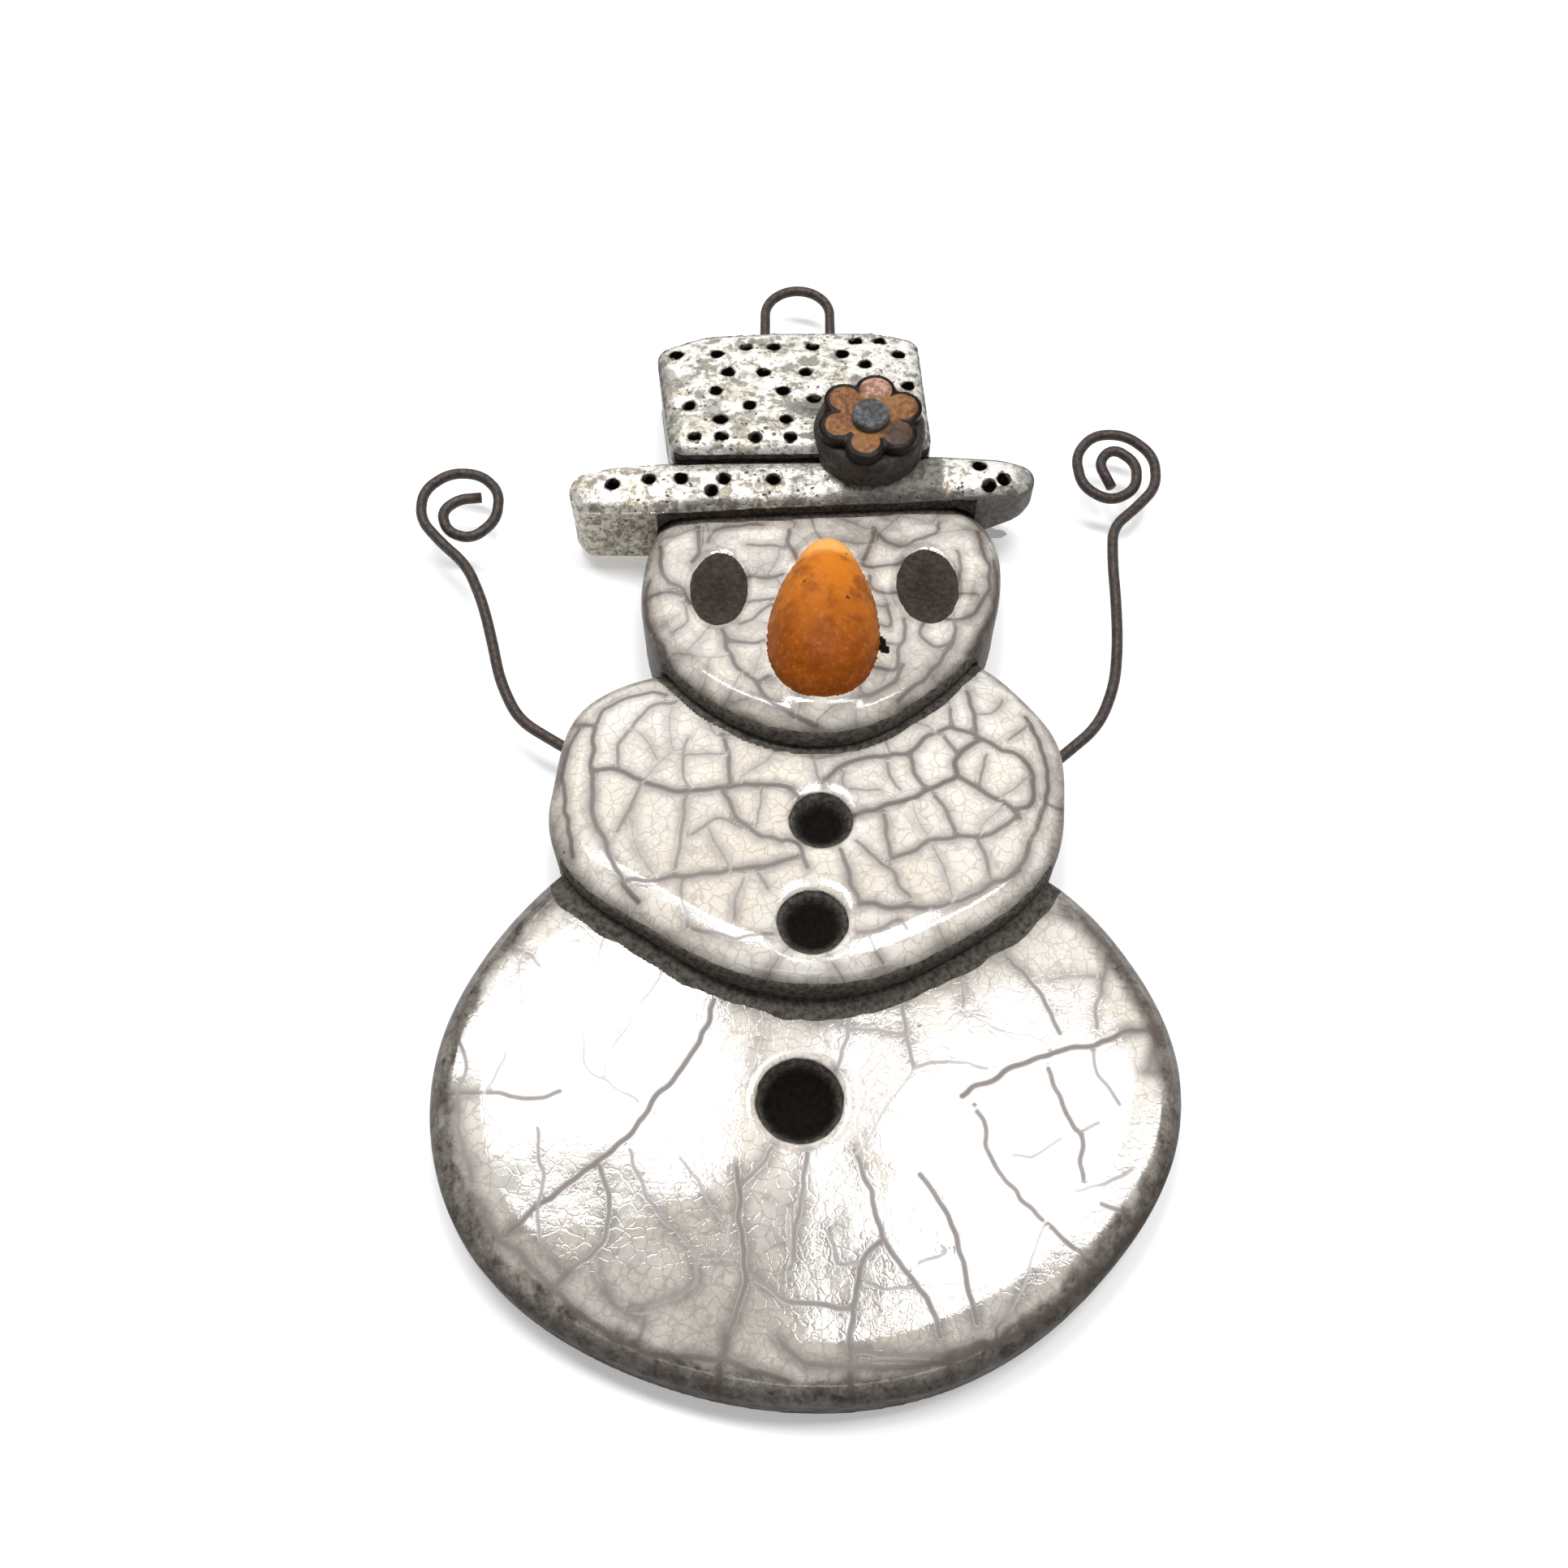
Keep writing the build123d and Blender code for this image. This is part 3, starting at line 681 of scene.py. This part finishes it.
def hat_glaze():
    n = Nodes("hat_glaze")
    p = n.coords()
    bare, worn, smoke, tan = n.attr("bare"), n.attr("worn"), n.attr("smoke"), n.attr("tan")
    q = n.warp(p, 1.4, 1.0)
    fleck = n.noise(q, 0.7, 4.0, 0.70)
    broad = n.noise(p, 3.4, 3.0, 0.6)
    patchy = n.plus(n.times(fleck, 0.55), n.times(n.noise(q, 2.0, 3.0, 0.6), 0.45))
    silver = n.mix(n.ramp(patchy, 0.42, 0.53), (0.30, 0.27, 0.225), (0.90, 0.88, 0.81))
    cream = n.mix(n.ramp(fleck, 0.36, 0.62), (0.24, 0.20, 0.14), (0.66, 0.60, 0.47))
    silver = n.mix(n.ramp(n.noise(p, 3.8, 2.0), 0.50, 0.66, 0.0, 0.75), silver, cream)
    silver = n.mix(n.times(n.ramp(broad, 0.54, 0.66), 0.70), silver, (0.19, 0.17, 0.15))
    beige = n.mix(n.ramp(fleck, 0.35, 0.6), (0.16, 0.135, 0.10), (0.62, 0.57, 0.45))
    silver = n.mix(tan, silver, beige)
    loss = n.ramp(n.plus(worn, n.times(n.minus(fleck, 0.5), 1.1)), 0.42, 0.6)
    dull = n.mix(n.ramp(fleck, 0.35, 0.62), (0.070, 0.064, 0.055), (0.235, 0.215, 0.19))
    colour = n.mix(loss, silver, dull)
    dirt = n.times(smoke, n.ramp(fleck, 0.3, 0.65, 1.0, 0.55), clamp=True)
    colour = n.mix(dirt, colour, (0.085, 0.077, 0.068))
    pits = n.minus(1.0, n.ramp(n.voronoi(q, 0.75, "F1"), 0.12, 0.25))
    pits = n.times(pits, n.ramp(n.noise(p, 1.8, 2.0), 0.46, 0.58))
    colour = n.mix(n.times(pits, 0.9), colour, (0.07, 0.052, 0.036))
    colour = n.mix(n.times(n.attr("ring"), 0.85), colour, (0.075, 0.050, 0.030))
    clay = n.mottle(p, (0.014, 0.011, 0.009), (0.085, 0.075, 0.063))
    # painted shade: the clay inside the prick holes is blackened
    clay = n.mix(n.attr("pit_shade"), clay, (0.004, 0.0022, 0.0015))
    raw = n.ramp(n.plus(bare, n.times(n.minus(n.noise(p, 0.5, 2.0), 0.5), 0.2)),
                 0.42, 0.58)
    dead = n.most(n.most(loss, dirt), pits)
    gloss = n.most(n.ramp(fleck, 0.35, 0.6, 0.5, 0.2), n.times(dead, 0.6))
    shine = n.times(n.minus(1.0, dead), 0.5)
    relief = n.minus(n.plus(n.times(broad, 1.6), fleck), n.times(pits, 0.9))
    normal = n.bump(relief, 0.20, 0.9)
    n.set(Base_Color=colour, Roughness=gloss, Metallic=shine, Normal=normal)
    bare_clay(n, raw, clay, normal)
    return n.mat


def smoked_clay():
    n = Nodes("smoked_clay")
    p = n.coords()
    grain = n.noise(p, 0.6, 4.0, 0.65)
    base = n.mix(n.ramp(grain, 0.3, 0.7), (0.010, 0.007, 0.005), (0.045, 0.035, 0.024))
    base = n.mix(n.attr("edge"), base, (0.012, 0.008, 0.006))
    cool = n.mix(n.ramp(grain, 0.35, 0.7), (0.025, 0.026, 0.028), (0.12, 0.12, 0.125))
    colour = n.mix(n.attr("cool"), base, cool)
    n.set(Base_Color=colour, Roughness=n.ramp(grain, 0.3, 0.7, 0.75, 0.5),
          Normal=n.bump(grain, 0.10, 0.9))
    return n.mat


def copper_glaze():
    n = Nodes("copper_glaze")
    p = n.coords()
    fleck = n.noise(p, 0.45, 4.0, 0.65)
    base = n.mix(n.ramp(fleck, 0.35, 0.65), (0.125, 0.046, 0.014), (0.29, 0.125, 0.046))
    gold = n.ramp(n.noise(p, 2.2, 2.0), 0.5, 0.7)
    base = n.mix(n.times(gold, 0.5), base, (0.34, 0.17, 0.05))
    pink = n.mix(n.ramp(fleck, 0.4, 0.6), (0.24, 0.12, 0.08), (0.52, 0.30, 0.22))
    base = n.mix(n.attr("pink"), base, pink)
    base = n.mix(n.attr("burnt"), base, n.mix(fleck, (0.02, 0.014, 0.010), (0.085, 0.055, 0.040)))
    edge = n.plus(n.attr("edge"), n.times(n.minus(fleck, 0.5), 0.5))
    colour = n.mix(n.ramp(edge, 0.4, 0.62), base, (0.012, 0.007, 0.005))
    n.set(Base_Color=colour, Roughness=n.ramp(fleck, 0.3, 0.7, 0.5, 0.32),
          Normal=n.bump(fleck, 0.09, 0.8))
    n.bsdf.inputs["Specular IOR Level"].default_value = 0.2
    return n.mat


def orange_glaze():
    n = Nodes("orange_glaze")
    p = n.coords()
    sep = n.add("ShaderNodeSeparateXYZ")
    n.link(p, sep.inputs[0])
    # painted light and shade: the orange is darker at the base and brighter towards the tip
    painted_light_to_tip = n.ramp(sep.outputs["Z"], -51.5, -36.5)
    fleck = n.noise(p, 0.5, 4.0, 0.6)
    base = n.mix(painted_light_to_tip, (0.27, 0.062, 0.004), (0.66, 0.20, 0.014))
    base = n.mix(n.ramp(n.noise(p, 2.4, 3.0, 0.6), 0.42, 0.68, 0.0, 0.7), base, (0.20, 0.045, 0.003))
    base = n.mix(n.ramp(fleck, 0.48, 0.7, 0.0, 0.35), base, (0.52, 0.17, 0.035))
    # painted highlight: the tip is made pale orange
    base = n.mix(n.ramp(sep.outputs["Z"], -38.6, -36.6), base, (0.93, 0.42, 0.11))
    holes = n.minus(1.0, n.ramp(n.voronoi(p, 2.6, "F1"), 0.05, 0.10))
    base = n.mix(n.times(holes, 0.9), base, (0.035, 0.010, 0.004))
    base = n.mix(n.attr("bare"), base, (0.03, 0.02, 0.014))
    relief = n.minus(n.noise(p, 0.8, 3.0, 0.6), holes)
    n.set(Base_Color=base, Roughness=n.ramp(fleck, 0.3, 0.7, 0.46, 0.32),
          Normal=n.bump(relief, 0.18, 0.9))
    n.bsdf.inputs["Specular IOR Level"].default_value = 0.08
    return n.mat


def oxidised_wire():
    n = Nodes("oxidised_wire")
    p = n.coords()
    scale = n.noise(p, 0.45, 4.0, 0.7)
    base = n.mix(n.ramp(scale, 0.3, 0.7), (0.020, 0.015, 0.013), (0.070, 0.052, 0.043))
    rust = n.ramp(n.noise(p, 2.5, 2.0), 0.55, 0.72)
    base = n.mix(n.times(rust, 0.5), base, (0.075, 0.042, 0.028))
    n.set(Base_Color=base, Roughness=n.ramp(scale, 0.3, 0.7, 0.62, 0.42),
          Normal=n.bump(scale, 0.05, 0.7))
    n.bsdf.inputs["Metallic"].default_value = 0.3
    return n.mat


# ------------------------------------ the pieces
OUTLINE = {name: outline_of(name) for name in FRONTS}


# the glaze runs off towards edges, pits and the nose: (slope in degrees, width of the slope in mm)
EDGE_FALL = {"bottom_slab": (3.0, 4.5), "middle_slab": (10.5, 3.9), "head_slab": (9.0, 3.0),
             "hat_brim": (12.0, 2.2), "hat_crown": (7.0, 4.0)}
PIT_FALL = {"bottom_slab": (6.0, 0.8), "middle_slab": (11.0, 1.35), "head_slab": (18.0, 0.85)}
NOSE_FALL = (17.0, 1.3)
PIT_FLOOR = 3.0         # every pit's floor is higher than this above the back plane, in mm
PRICK_FLOOR = 4.5       # and every prick's tip is higher than this
SMOKE_EDGE = {"bottom_slab": 1.6, "middle_slab": 0.66, "head_slab": 0.80}    # strength along the edge
SMOKE_ALL = {"bottom_slab": 0.0, "middle_slab": 0.02, "head_slab": 0.17}     # and over the whole face
CRACK_SPACING = {"bottom_slab": 2.9, "middle_slab": 2.0, "head_slab": 1.6}
# on the crown: strength, x, z, and the spread along x and z
WORN_SPOTS = ((0.75, 1.8, -20.8, 4.6, 2.4), (0.6, 1.5, -24.6, 4.0, 0.9), (0.5, 4.0, -16.6, 3.0, 0.8))
PAINTED_CREVICES = ((7.05, -46.6, 0.55), (7.35, -47.6, 0.65))   # beside the nose, small crevices painted black as shaded hollows: x, z, radius


def run_off(distance, slope_width):
    """Depth of a straight slope that starts slope_width[1] away from an edge."""
    slope, width = slope_width
    t = width - np.maximum(distance, 0)
    return math.tan(math.radians(slope)) * np.where(t > 0.3, t - 0.15, np.maximum(t, 0) ** 2 / 0.6)


def shape_slab(node, name, pits, voxel=0.27):
    """Fine copy of a slab with an uneven face that falls away at edges and pits.

    Also returns each point's place, normal, (x, z), depth below the front plane, and distances
    past the nearest pit's edge and inside the slab's outline."""
    obj = fine_copy(node, name, voxel)
    mesh = obj.data
    co, no = mesh_arrays(mesh)
    flat = co[:, [0, 2]]
    height = BACK_Y - co[:, 1]
    below = front_height(node, co[:, 2]) - height
    gap = np.where(height > PIT_FLOOR, pit_gap(flat, pits), FAR)
    front = smoothstep(1.6, 0.4, below) * (no[:, 1] < -0.2)
    depth = inside_depth(flat, OUTLINE[node])
    co[:, 1] += run_off(depth, EDGE_FALL[node]) * front
    sink = 0.10 + 0.06 * fbm(co, 9.0, 2) + 0.006 * fbm(co + 31.0, 2.2, 2)
    lip = run_off(gap, PIT_FALL[node]) * (gap > -0.25) * (below < 0.8) if pits else 0
    off_back = smoothstep(0.1, 0.8, height)
    co -= no * (np.clip(sink, 0, 0.3) * off_back)[:, None]
    co[:, 1] += lip * front
    if node == "head_slab":
        d = -inside_depth(flat, outline_of("carrot_nose"))
        co[:, 1] -= run_off(d, NOSE_FALL) * front
    put_vertices(mesh, co)
    return obj, co, no, flat, below, gap, depth


def back_of(co):
    """1 on the unglazed back, else 0."""
    return (co[:, 1] > BACK_Y - BACK_SKIN) * 1.0


def make_body():
    glaze = crackle_glaze()
    specs = [  # CAD node, piece, pits, the slab lapped over it, width of the bare strip beside the lap
        ("bottom_slab", "lower_body", BOTTOM_BUTTONS, "middle_slab", 1.5),
        ("middle_slab", "upper_body", MIDDLE_BUTTONS, "head_slab", 0.55),
        ("head_slab", "head", EYES, "hat_brim", 0.35),
    ]
    under = {"middle_slab": "bottom_slab", "head_slab": "middle_slab"}
    for seed, (node, name, pits, lapped_by, cove) in enumerate(specs, start=40):
        obj, co, no, flat, below, gap, depth = shape_slab(node, name, pits)
        mesh = obj.data
        rim = fbm(co, 1.1, 3)
        bare = smoothstep(0.22, -0.22, gap + 0.12 * rim)
        cove_w = cove * (1 + 0.3 * fbm(co + 9.0, 3.0, 2))
        d = -inside_depth(flat, OUTLINE[lapped_by])
        bare = np.maximum(bare, 1 - smoothstep(cove_w * 0.8, cove_w * 1.15, d))
        if node == "head_slab":
            # painted shade: each crevice beside the nose is bare clay blackened as a deep pit floor, on a
            # face with no hollow
            for hx, hz, r in PAINTED_CREVICES:
                away = np.hypot(flat[:, 0] - hx, flat[:, 1] - hz) + 0.15 * rim
                hole = (no[:, 1] < -0.4) * smoothstep(r, r * 0.6, away)
                bare = np.maximum(bare, hole)
                gap = np.where(hole > 0.5, -1.0, gap)
                below = np.where(hole > 0.5, 2.0, below)
        if node in under:
            over_it = smoothstep(-0.2, 0.6, inside_depth(flat, OUTLINE[under[node]]))
            wall = smoothstep(0.95, 1.35, below + 0.15 * rim) * over_it
            bare = np.maximum(bare, wall)
        bare = np.maximum(bare, back_of(co))
        set_float(mesh, "bare", bare)
        # side walls turn to sooty bare clay; walls that face down are made darker still, which is painted
        # shade
        sideways = smoothstep(0.35, 0.85, np.hypot(no[:, 0], no[:, 2]))
        set_float(mesh, "wall", sideways * (0.45 + 0.55 * smoothstep(0.2, -0.5, no[:, 2])))
        set_float(mesh, "eye", smoothstep(0.3, 0.0, gap) * (node == "head_slab"))
        # painted shade: the bare clay blackens with depth in each pit
        set_float(mesh, "pit_shade", smoothstep(0.45, 1.35, below) * (gap < 0.05) + 0.0)
        near, far = (0.6, 3.3) if node == "bottom_slab" else (0.1, 1.7)
        edge = 1 - smoothstep(near, far, depth + 0.55 * fbm(co + 3.0, 2.5, 3))
        smoke = np.clip(edge * SMOKE_EDGE[node], 0, 1)
        if node == "bottom_slab":
            low = co[:, 2] - 0.12 * np.abs(co[:, 0] - 2)
            smoke = np.maximum(smoke, 0.50 * smoothstep(-88, -99, low))
        smoke = np.maximum(smoke, SMOKE_ALL[node] * (1.6 + 2.5 * fbm(co + 17.0, 3.0, 2)))
        near_pit = np.exp(-np.maximum(gap, 0) / 0.5) * 0.25
        near_lap = np.exp(-np.maximum(d - cove, 0) / 0.7) * 0.5
        set_float(mesh, "smoke", np.clip(np.maximum(smoke, np.maximum(near_pit, near_lap)), 0, 1))
        paint_cracks(mesh, grow_cracks(OUTLINE[node], pits, CRACKS[node], CRACK_SPACING[node], seed))
        finish_piece(obj, node, glaze)


def make_hat():
    glaze = hat_glaze()
    for node, name, lapped_by in (("hat_brim", "brim", "hat_crown"), ("hat_crown", "crown", None)):
        obj, co, no, flat, below, _, depth = shape_slab(node, name, [], voxel=0.17)
        mesh = obj.data
        rim = fbm(co, 1.1, 3)
        over = OUTLINE["head_slab"] if node == "hat_brim" else OUTLINE["hat_brim"]
        over_it = smoothstep(-0.3, 0.3, inside_depth(flat, over))
        wall = smoothstep(1.0, 1.4, below + 0.2 * rim) * over_it * (no[:, 2] < 0.2)
        ring = np.full(len(co), FAR)
        for px, pz in PRICKS[node]:
            ring = np.minimum(ring, np.hypot(flat[:, 0] - px, flat[:, 1] - pz))
        ring += 0.34 * fbm(co + 5.0, 0.8, 2)
        ring[BACK_Y - co[:, 1] < PRICK_FLOOR] = FAR
        holes = 1 - smoothstep(0.44, 0.62, ring)
        # painted shade: the clay inside each prick hole is blackened
        set_float(mesh, "pit_shade", holes)
        set_float(mesh, "ring", 1 - smoothstep(0.6, 0.85, ring))
        co[:, 1] += 0.10 * np.exp(-(ring / 0.75) ** 2) * (no[:, 1] < -0.3)
        put_vertices(mesh, co)
        bare = np.maximum(wall, holes)
        if lapped_by:
            d = -inside_depth(flat, OUTLINE[lapped_by])
            bare = np.maximum(bare, (1 - smoothstep(0.05, 0.25, d)) * (d > -0.5))
        bare = np.maximum(bare, back_of(co))
        set_float(mesh, "bare", bare)
        dirt = 1.1 - 1.1 * smoothstep(0.0, 1.25, depth + 0.4 * rim)
        if node == "hat_brim":
            dirt *= 0.35 + 0.65 * smoothstep(-14.0, -10.0, co[:, 0])
            dirt += 0.8 * smoothstep(19.5, 21.5, co[:, 0] + rim)
        set_float(mesh, "smoke", np.clip(dirt, 0, 1))
        if node == "hat_brim":
            worn = smoothstep(3.0, 5.0, co[:, 0]) * smoothstep(15.0, 12.0, co[:, 0])
            front_edge = smoothstep(-1.0, 0.8, below - 0.5) * smoothstep(1.0, 3.0, co[:, 0])
            worn = np.maximum(worn, 0.75 * front_edge)
        else:
            worn = np.zeros(len(co))
            for amount, px, pz, wide, tall in WORN_SPOTS:
                spot = np.exp(-(((co[:, 0] - px) / wide) ** 2 + ((co[:, 2] - pz) / tall) ** 2))
                worn = np.maximum(worn, amount * spot)
        set_float(mesh, "worn", worn)
        tan = smoothstep(0.8, 1.4, below) * smoothstep(-12.0, -14.0, co[:, 0])
        set_float(mesh, "tan", tan * (node == "hat_brim"))
        finish_piece(obj, node, glaze)


def make_flower():
    clay, copper = smoked_clay(), copper_glaze()
    cx, cz = FLOWER
    for node, name in (("flower_base", "flower_pad"), ("flower_centre", "flower_button")):
        obj = fine_copy(node, name, 0.12)
        co, no = mesh_arrays(obj.data)
        co -= no * np.clip(0.07 + 0.07 * fbm(co, 1.6, 3), 0, 0.25)[:, None]
        put_vertices(obj.data, co)
        pad = node == "flower_base"
        top = 0.8 * smoothstep(11.5, 12.0, BACK_Y - co[:, 1]) * pad
        set_float(obj.data, "edge", top)
        set_float(obj.data, "cool", np.full(len(co), 0.0 if pad else 1.0))
        finish_piece(obj, node, clay)
    obj = fine_copy("flower_petals", "petals", 0.10)
    co, no = mesh_arrays(obj.data)
    dx, dz = co[:, 0] - cx, co[:, 2] - cz
    reach = PETAL_CORE_R - np.hypot(dx, dz)    # distance inside the flower's outline
    for a in map(math.radians, PETAL_ANGLES):
        off = np.hypot(dx - PETAL_OFFSET * math.cos(a), dz - PETAL_OFFSET * math.sin(a))
        reach = np.maximum(reach, PETAL_R - off)
    angle = (np.degrees(np.arctan2(dz, dx)) + 360) % 360

    def petal(a):
        """1 on the petal that points along angle a."""
        off = np.abs((angle - a + 180) % 360 - 180)
        return smoothstep(32, 16, off) * smoothstep(1.7, 2.6, np.hypot(dx, dz))

    set_float(obj.data, "pink", petal(80))
    set_float(obj.data, "burnt", 0.9 * petal(320))
    shade = smoothstep(0.62, 0.36, reach + 0.12 * np.cos(np.radians(angle - 60)))
    set_float(obj.data, "edge", np.maximum(shade, (co[:, 1] > PETAL_UNDERSIDE_Y) * 1.0))
    crown = 0.22 * smoothstep(0.9, 0.0, reach) + 0.05 + 0.05 * fbm(co, 0.9, 3)
    co[:, 1] += np.clip(crown, 0, 0.4) * (no[:, 1] < -0.3)
    put_vertices(obj.data, co)
    finish_piece(obj, "flower_petals", copper)


def front_of_face(co):
    """Height in mm above the plane of the head's front."""
    return (BACK_Y - co[:, 1]) - front_height("head_slab", co[:, 2])


def make_nose():
    obj = fine_copy("carrot_nose", "nose", 0.15, smooth=8)
    co, no = mesh_arrays(obj.data)
    proud = front_of_face(co) > 0.3
    dent = np.clip(0.12 + 0.14 * fbm(co, 3.0, 2) + 0.05 * fbm(co + 5.0, 1.0, 2), 0, 0.4)
    co -= no * (dent * proud)[:, None]
    put_vertices(obj.data, co)
    set_float(obj.data, "bare", smoothstep(0.32, 0.12, front_of_face(co)))
    finish_piece(obj, "carrot_nose", orange_glaze())


def make_wires():
    wire = oxidised_wire()
    for node, name in (("left_arm_wire", "left_arm"), ("right_arm_wire", "right_arm"),
                       ("hanger_loop", "hanger")):
        finish_piece(fine_copy(node, name), node, wire)


make_body()
make_hat()
make_flower()
make_nose()
make_wires()


# ------------------------------------ stage, light and camera
def backdrop():
    """White surface just behind the flat back. It is open to cameras on its far side, and cut away
    where the clay covers it, so that the back can be lit and seen."""
    step, y = 1.0, BACK_Y + 0.15
    xs, zs = np.arange(-45.0, 46.0, step), np.arange(-120.0, 11.0, step)
    verts = [(x, y, z) for x in xs for z in zs]
    grid, cover = np.array(verts)[:, [0, 2]], np.full(len(verts), -FAR)
    for node, outline in OUTLINE.items():
        cover = np.maximum(cover, inside_depth(grid, outline) - (1.2 if node == "hat_brim" else 0.0))
    nz = len(zs)
    faces = [(k, k + nz, k + nz + 1, k + 1) for k in range(len(verts) - nz) if (k + 1) % nz]
    far = 1000.0
    for x0, x1, z0, z1 in ((-far, xs[0], -far, far), (xs[-1], far, -far, far),
                           (xs[0], xs[-1], zs[-1], far), (xs[0], xs[-1], -far, zs[0])):
        k = len(verts)
        verts += [(x0, y, z0), (x1, y, z0), (x1, y, z1), (x0, y, z1)]
        faces.append((k, k + 1, k + 2, k + 3))
    mesh = bpy.data.meshes.new("backdrop")
    mesh.from_pydata([tuple(c * MM for c in v) for v in verts], [], faces)
    set_float(mesh, "cover", np.append(cover, np.full(len(verts) - len(cover), -FAR)))
    plane = bpy.data.objects.new("backdrop", mesh)
    bpy.context.scene.collection.objects.link(plane)
    n = Nodes("backdrop_white")
    n.set(Base_Color=(0.90, 0.90, 0.91), Roughness=1.0)
    n.bsdf.inputs["Specular IOR Level"].default_value = 0.0
    n.bsdf.inputs["Emission Color"].default_value = (1.0, 1.0, 1.0, 1.0)
    n.bsdf.inputs["Emission Strength"].default_value = 0.22
    clear, mix = n.add("ShaderNodeBsdfTransparent"), n.add("ShaderNodeMixShader")
    opening = n.math("GREATER_THAN", n.attr("cover"), 0.3)
    from_behind = n.add("ShaderNodeNewGeometry").outputs["Backfacing"]
    n.link(n.most(from_behind, opening), mix.inputs[0])
    n.link(n.bsdf.outputs[0], mix.inputs[1])
    n.link(clear.outputs[0], mix.inputs[2])
    n.link(mix.outputs[0], n.out.inputs["Surface"])
    plane.data.materials.append(n.mat)


def softbox(name, place, aim, width, tall, radiance):
    data = bpy.data.lights.new(name, "AREA")
    data.shape, data.size, data.size_y = "RECTANGLE", width, tall
    data.energy = radiance * math.pi * width * tall
    obj = bpy.data.objects.new(name, data)
    bpy.context.scene.collection.objects.link(obj)
    obj.location = place
    obj.rotation_mode = "QUATERNION"
    obj.rotation_quaternion = (Vector(aim) - Vector(place)).to_track_quat("-Z", "Y")


backdrop()
LIGHTS = (  # name, place, what it points at, width, height, radiance
    ("patch_left", (-0.090, -0.6, 0.108), (0, 0, -0.085), 0.113, 0.124, 22),
    ("patch_right", (0.104, -0.6, 0.043), (0, 0, -0.095), 0.148, 0.136, 20),
    ("side_left", (-0.235, -0.55, 0.135), (0, 0, -0.085), 0.21, 0.06, 15),
    ("side_right", (0.255, -0.54, 0.005), (0, 0, -0.085), 0.21, 0.06, 13),
    ("behind_left", (-0.45, 0.55, 0.25), (0, 0, -0.05), 0.5, 0.5, 3.5),
    ("behind_right", (0.50, 0.50, 0.10), (0, 0, -0.05), 0.5, 0.5, 2.0),
    ("overhead", (-0.10, -0.42, 0.52), (0, 0, -0.05), 0.55, 0.40, 2.1),
    ("edge_strip", (0.0, -0.50, -0.62), (0, 0, -0.08), 0.9, 0.05, 2.5),
)
for light in LIGHTS:
    softbox(*light)

world = bpy.data.worlds.new("studio")
world.use_nodes = True
world.node_tree.nodes["Background"].inputs[0].default_value = (0.98, 0.99, 1.0, 1.0)
world.node_tree.nodes["Background"].inputs[1].default_value = 0.32
bpy.context.scene.world = world
bpy.context.scene.view_settings.view_transform = "Standard"

cam = bpy.data.cameras.new("camera")
cam.sensor_width, cam.lens = 36.0, 36.335
cam.clip_start, cam.clip_end = 0.01, 10.0
camera = bpy.data.objects.new("camera", cam)
bpy.context.scene.collection.objects.link(camera)
camera.location = (-0.0014, -0.124198, -0.121295)
camera.rotation_mode = "QUATERNION"
camera.rotation_quaternion = Vector((0.0, 0.88980, 0.45636)).to_track_quat("-Z", "Y")
bpy.context.scene.camera = camera
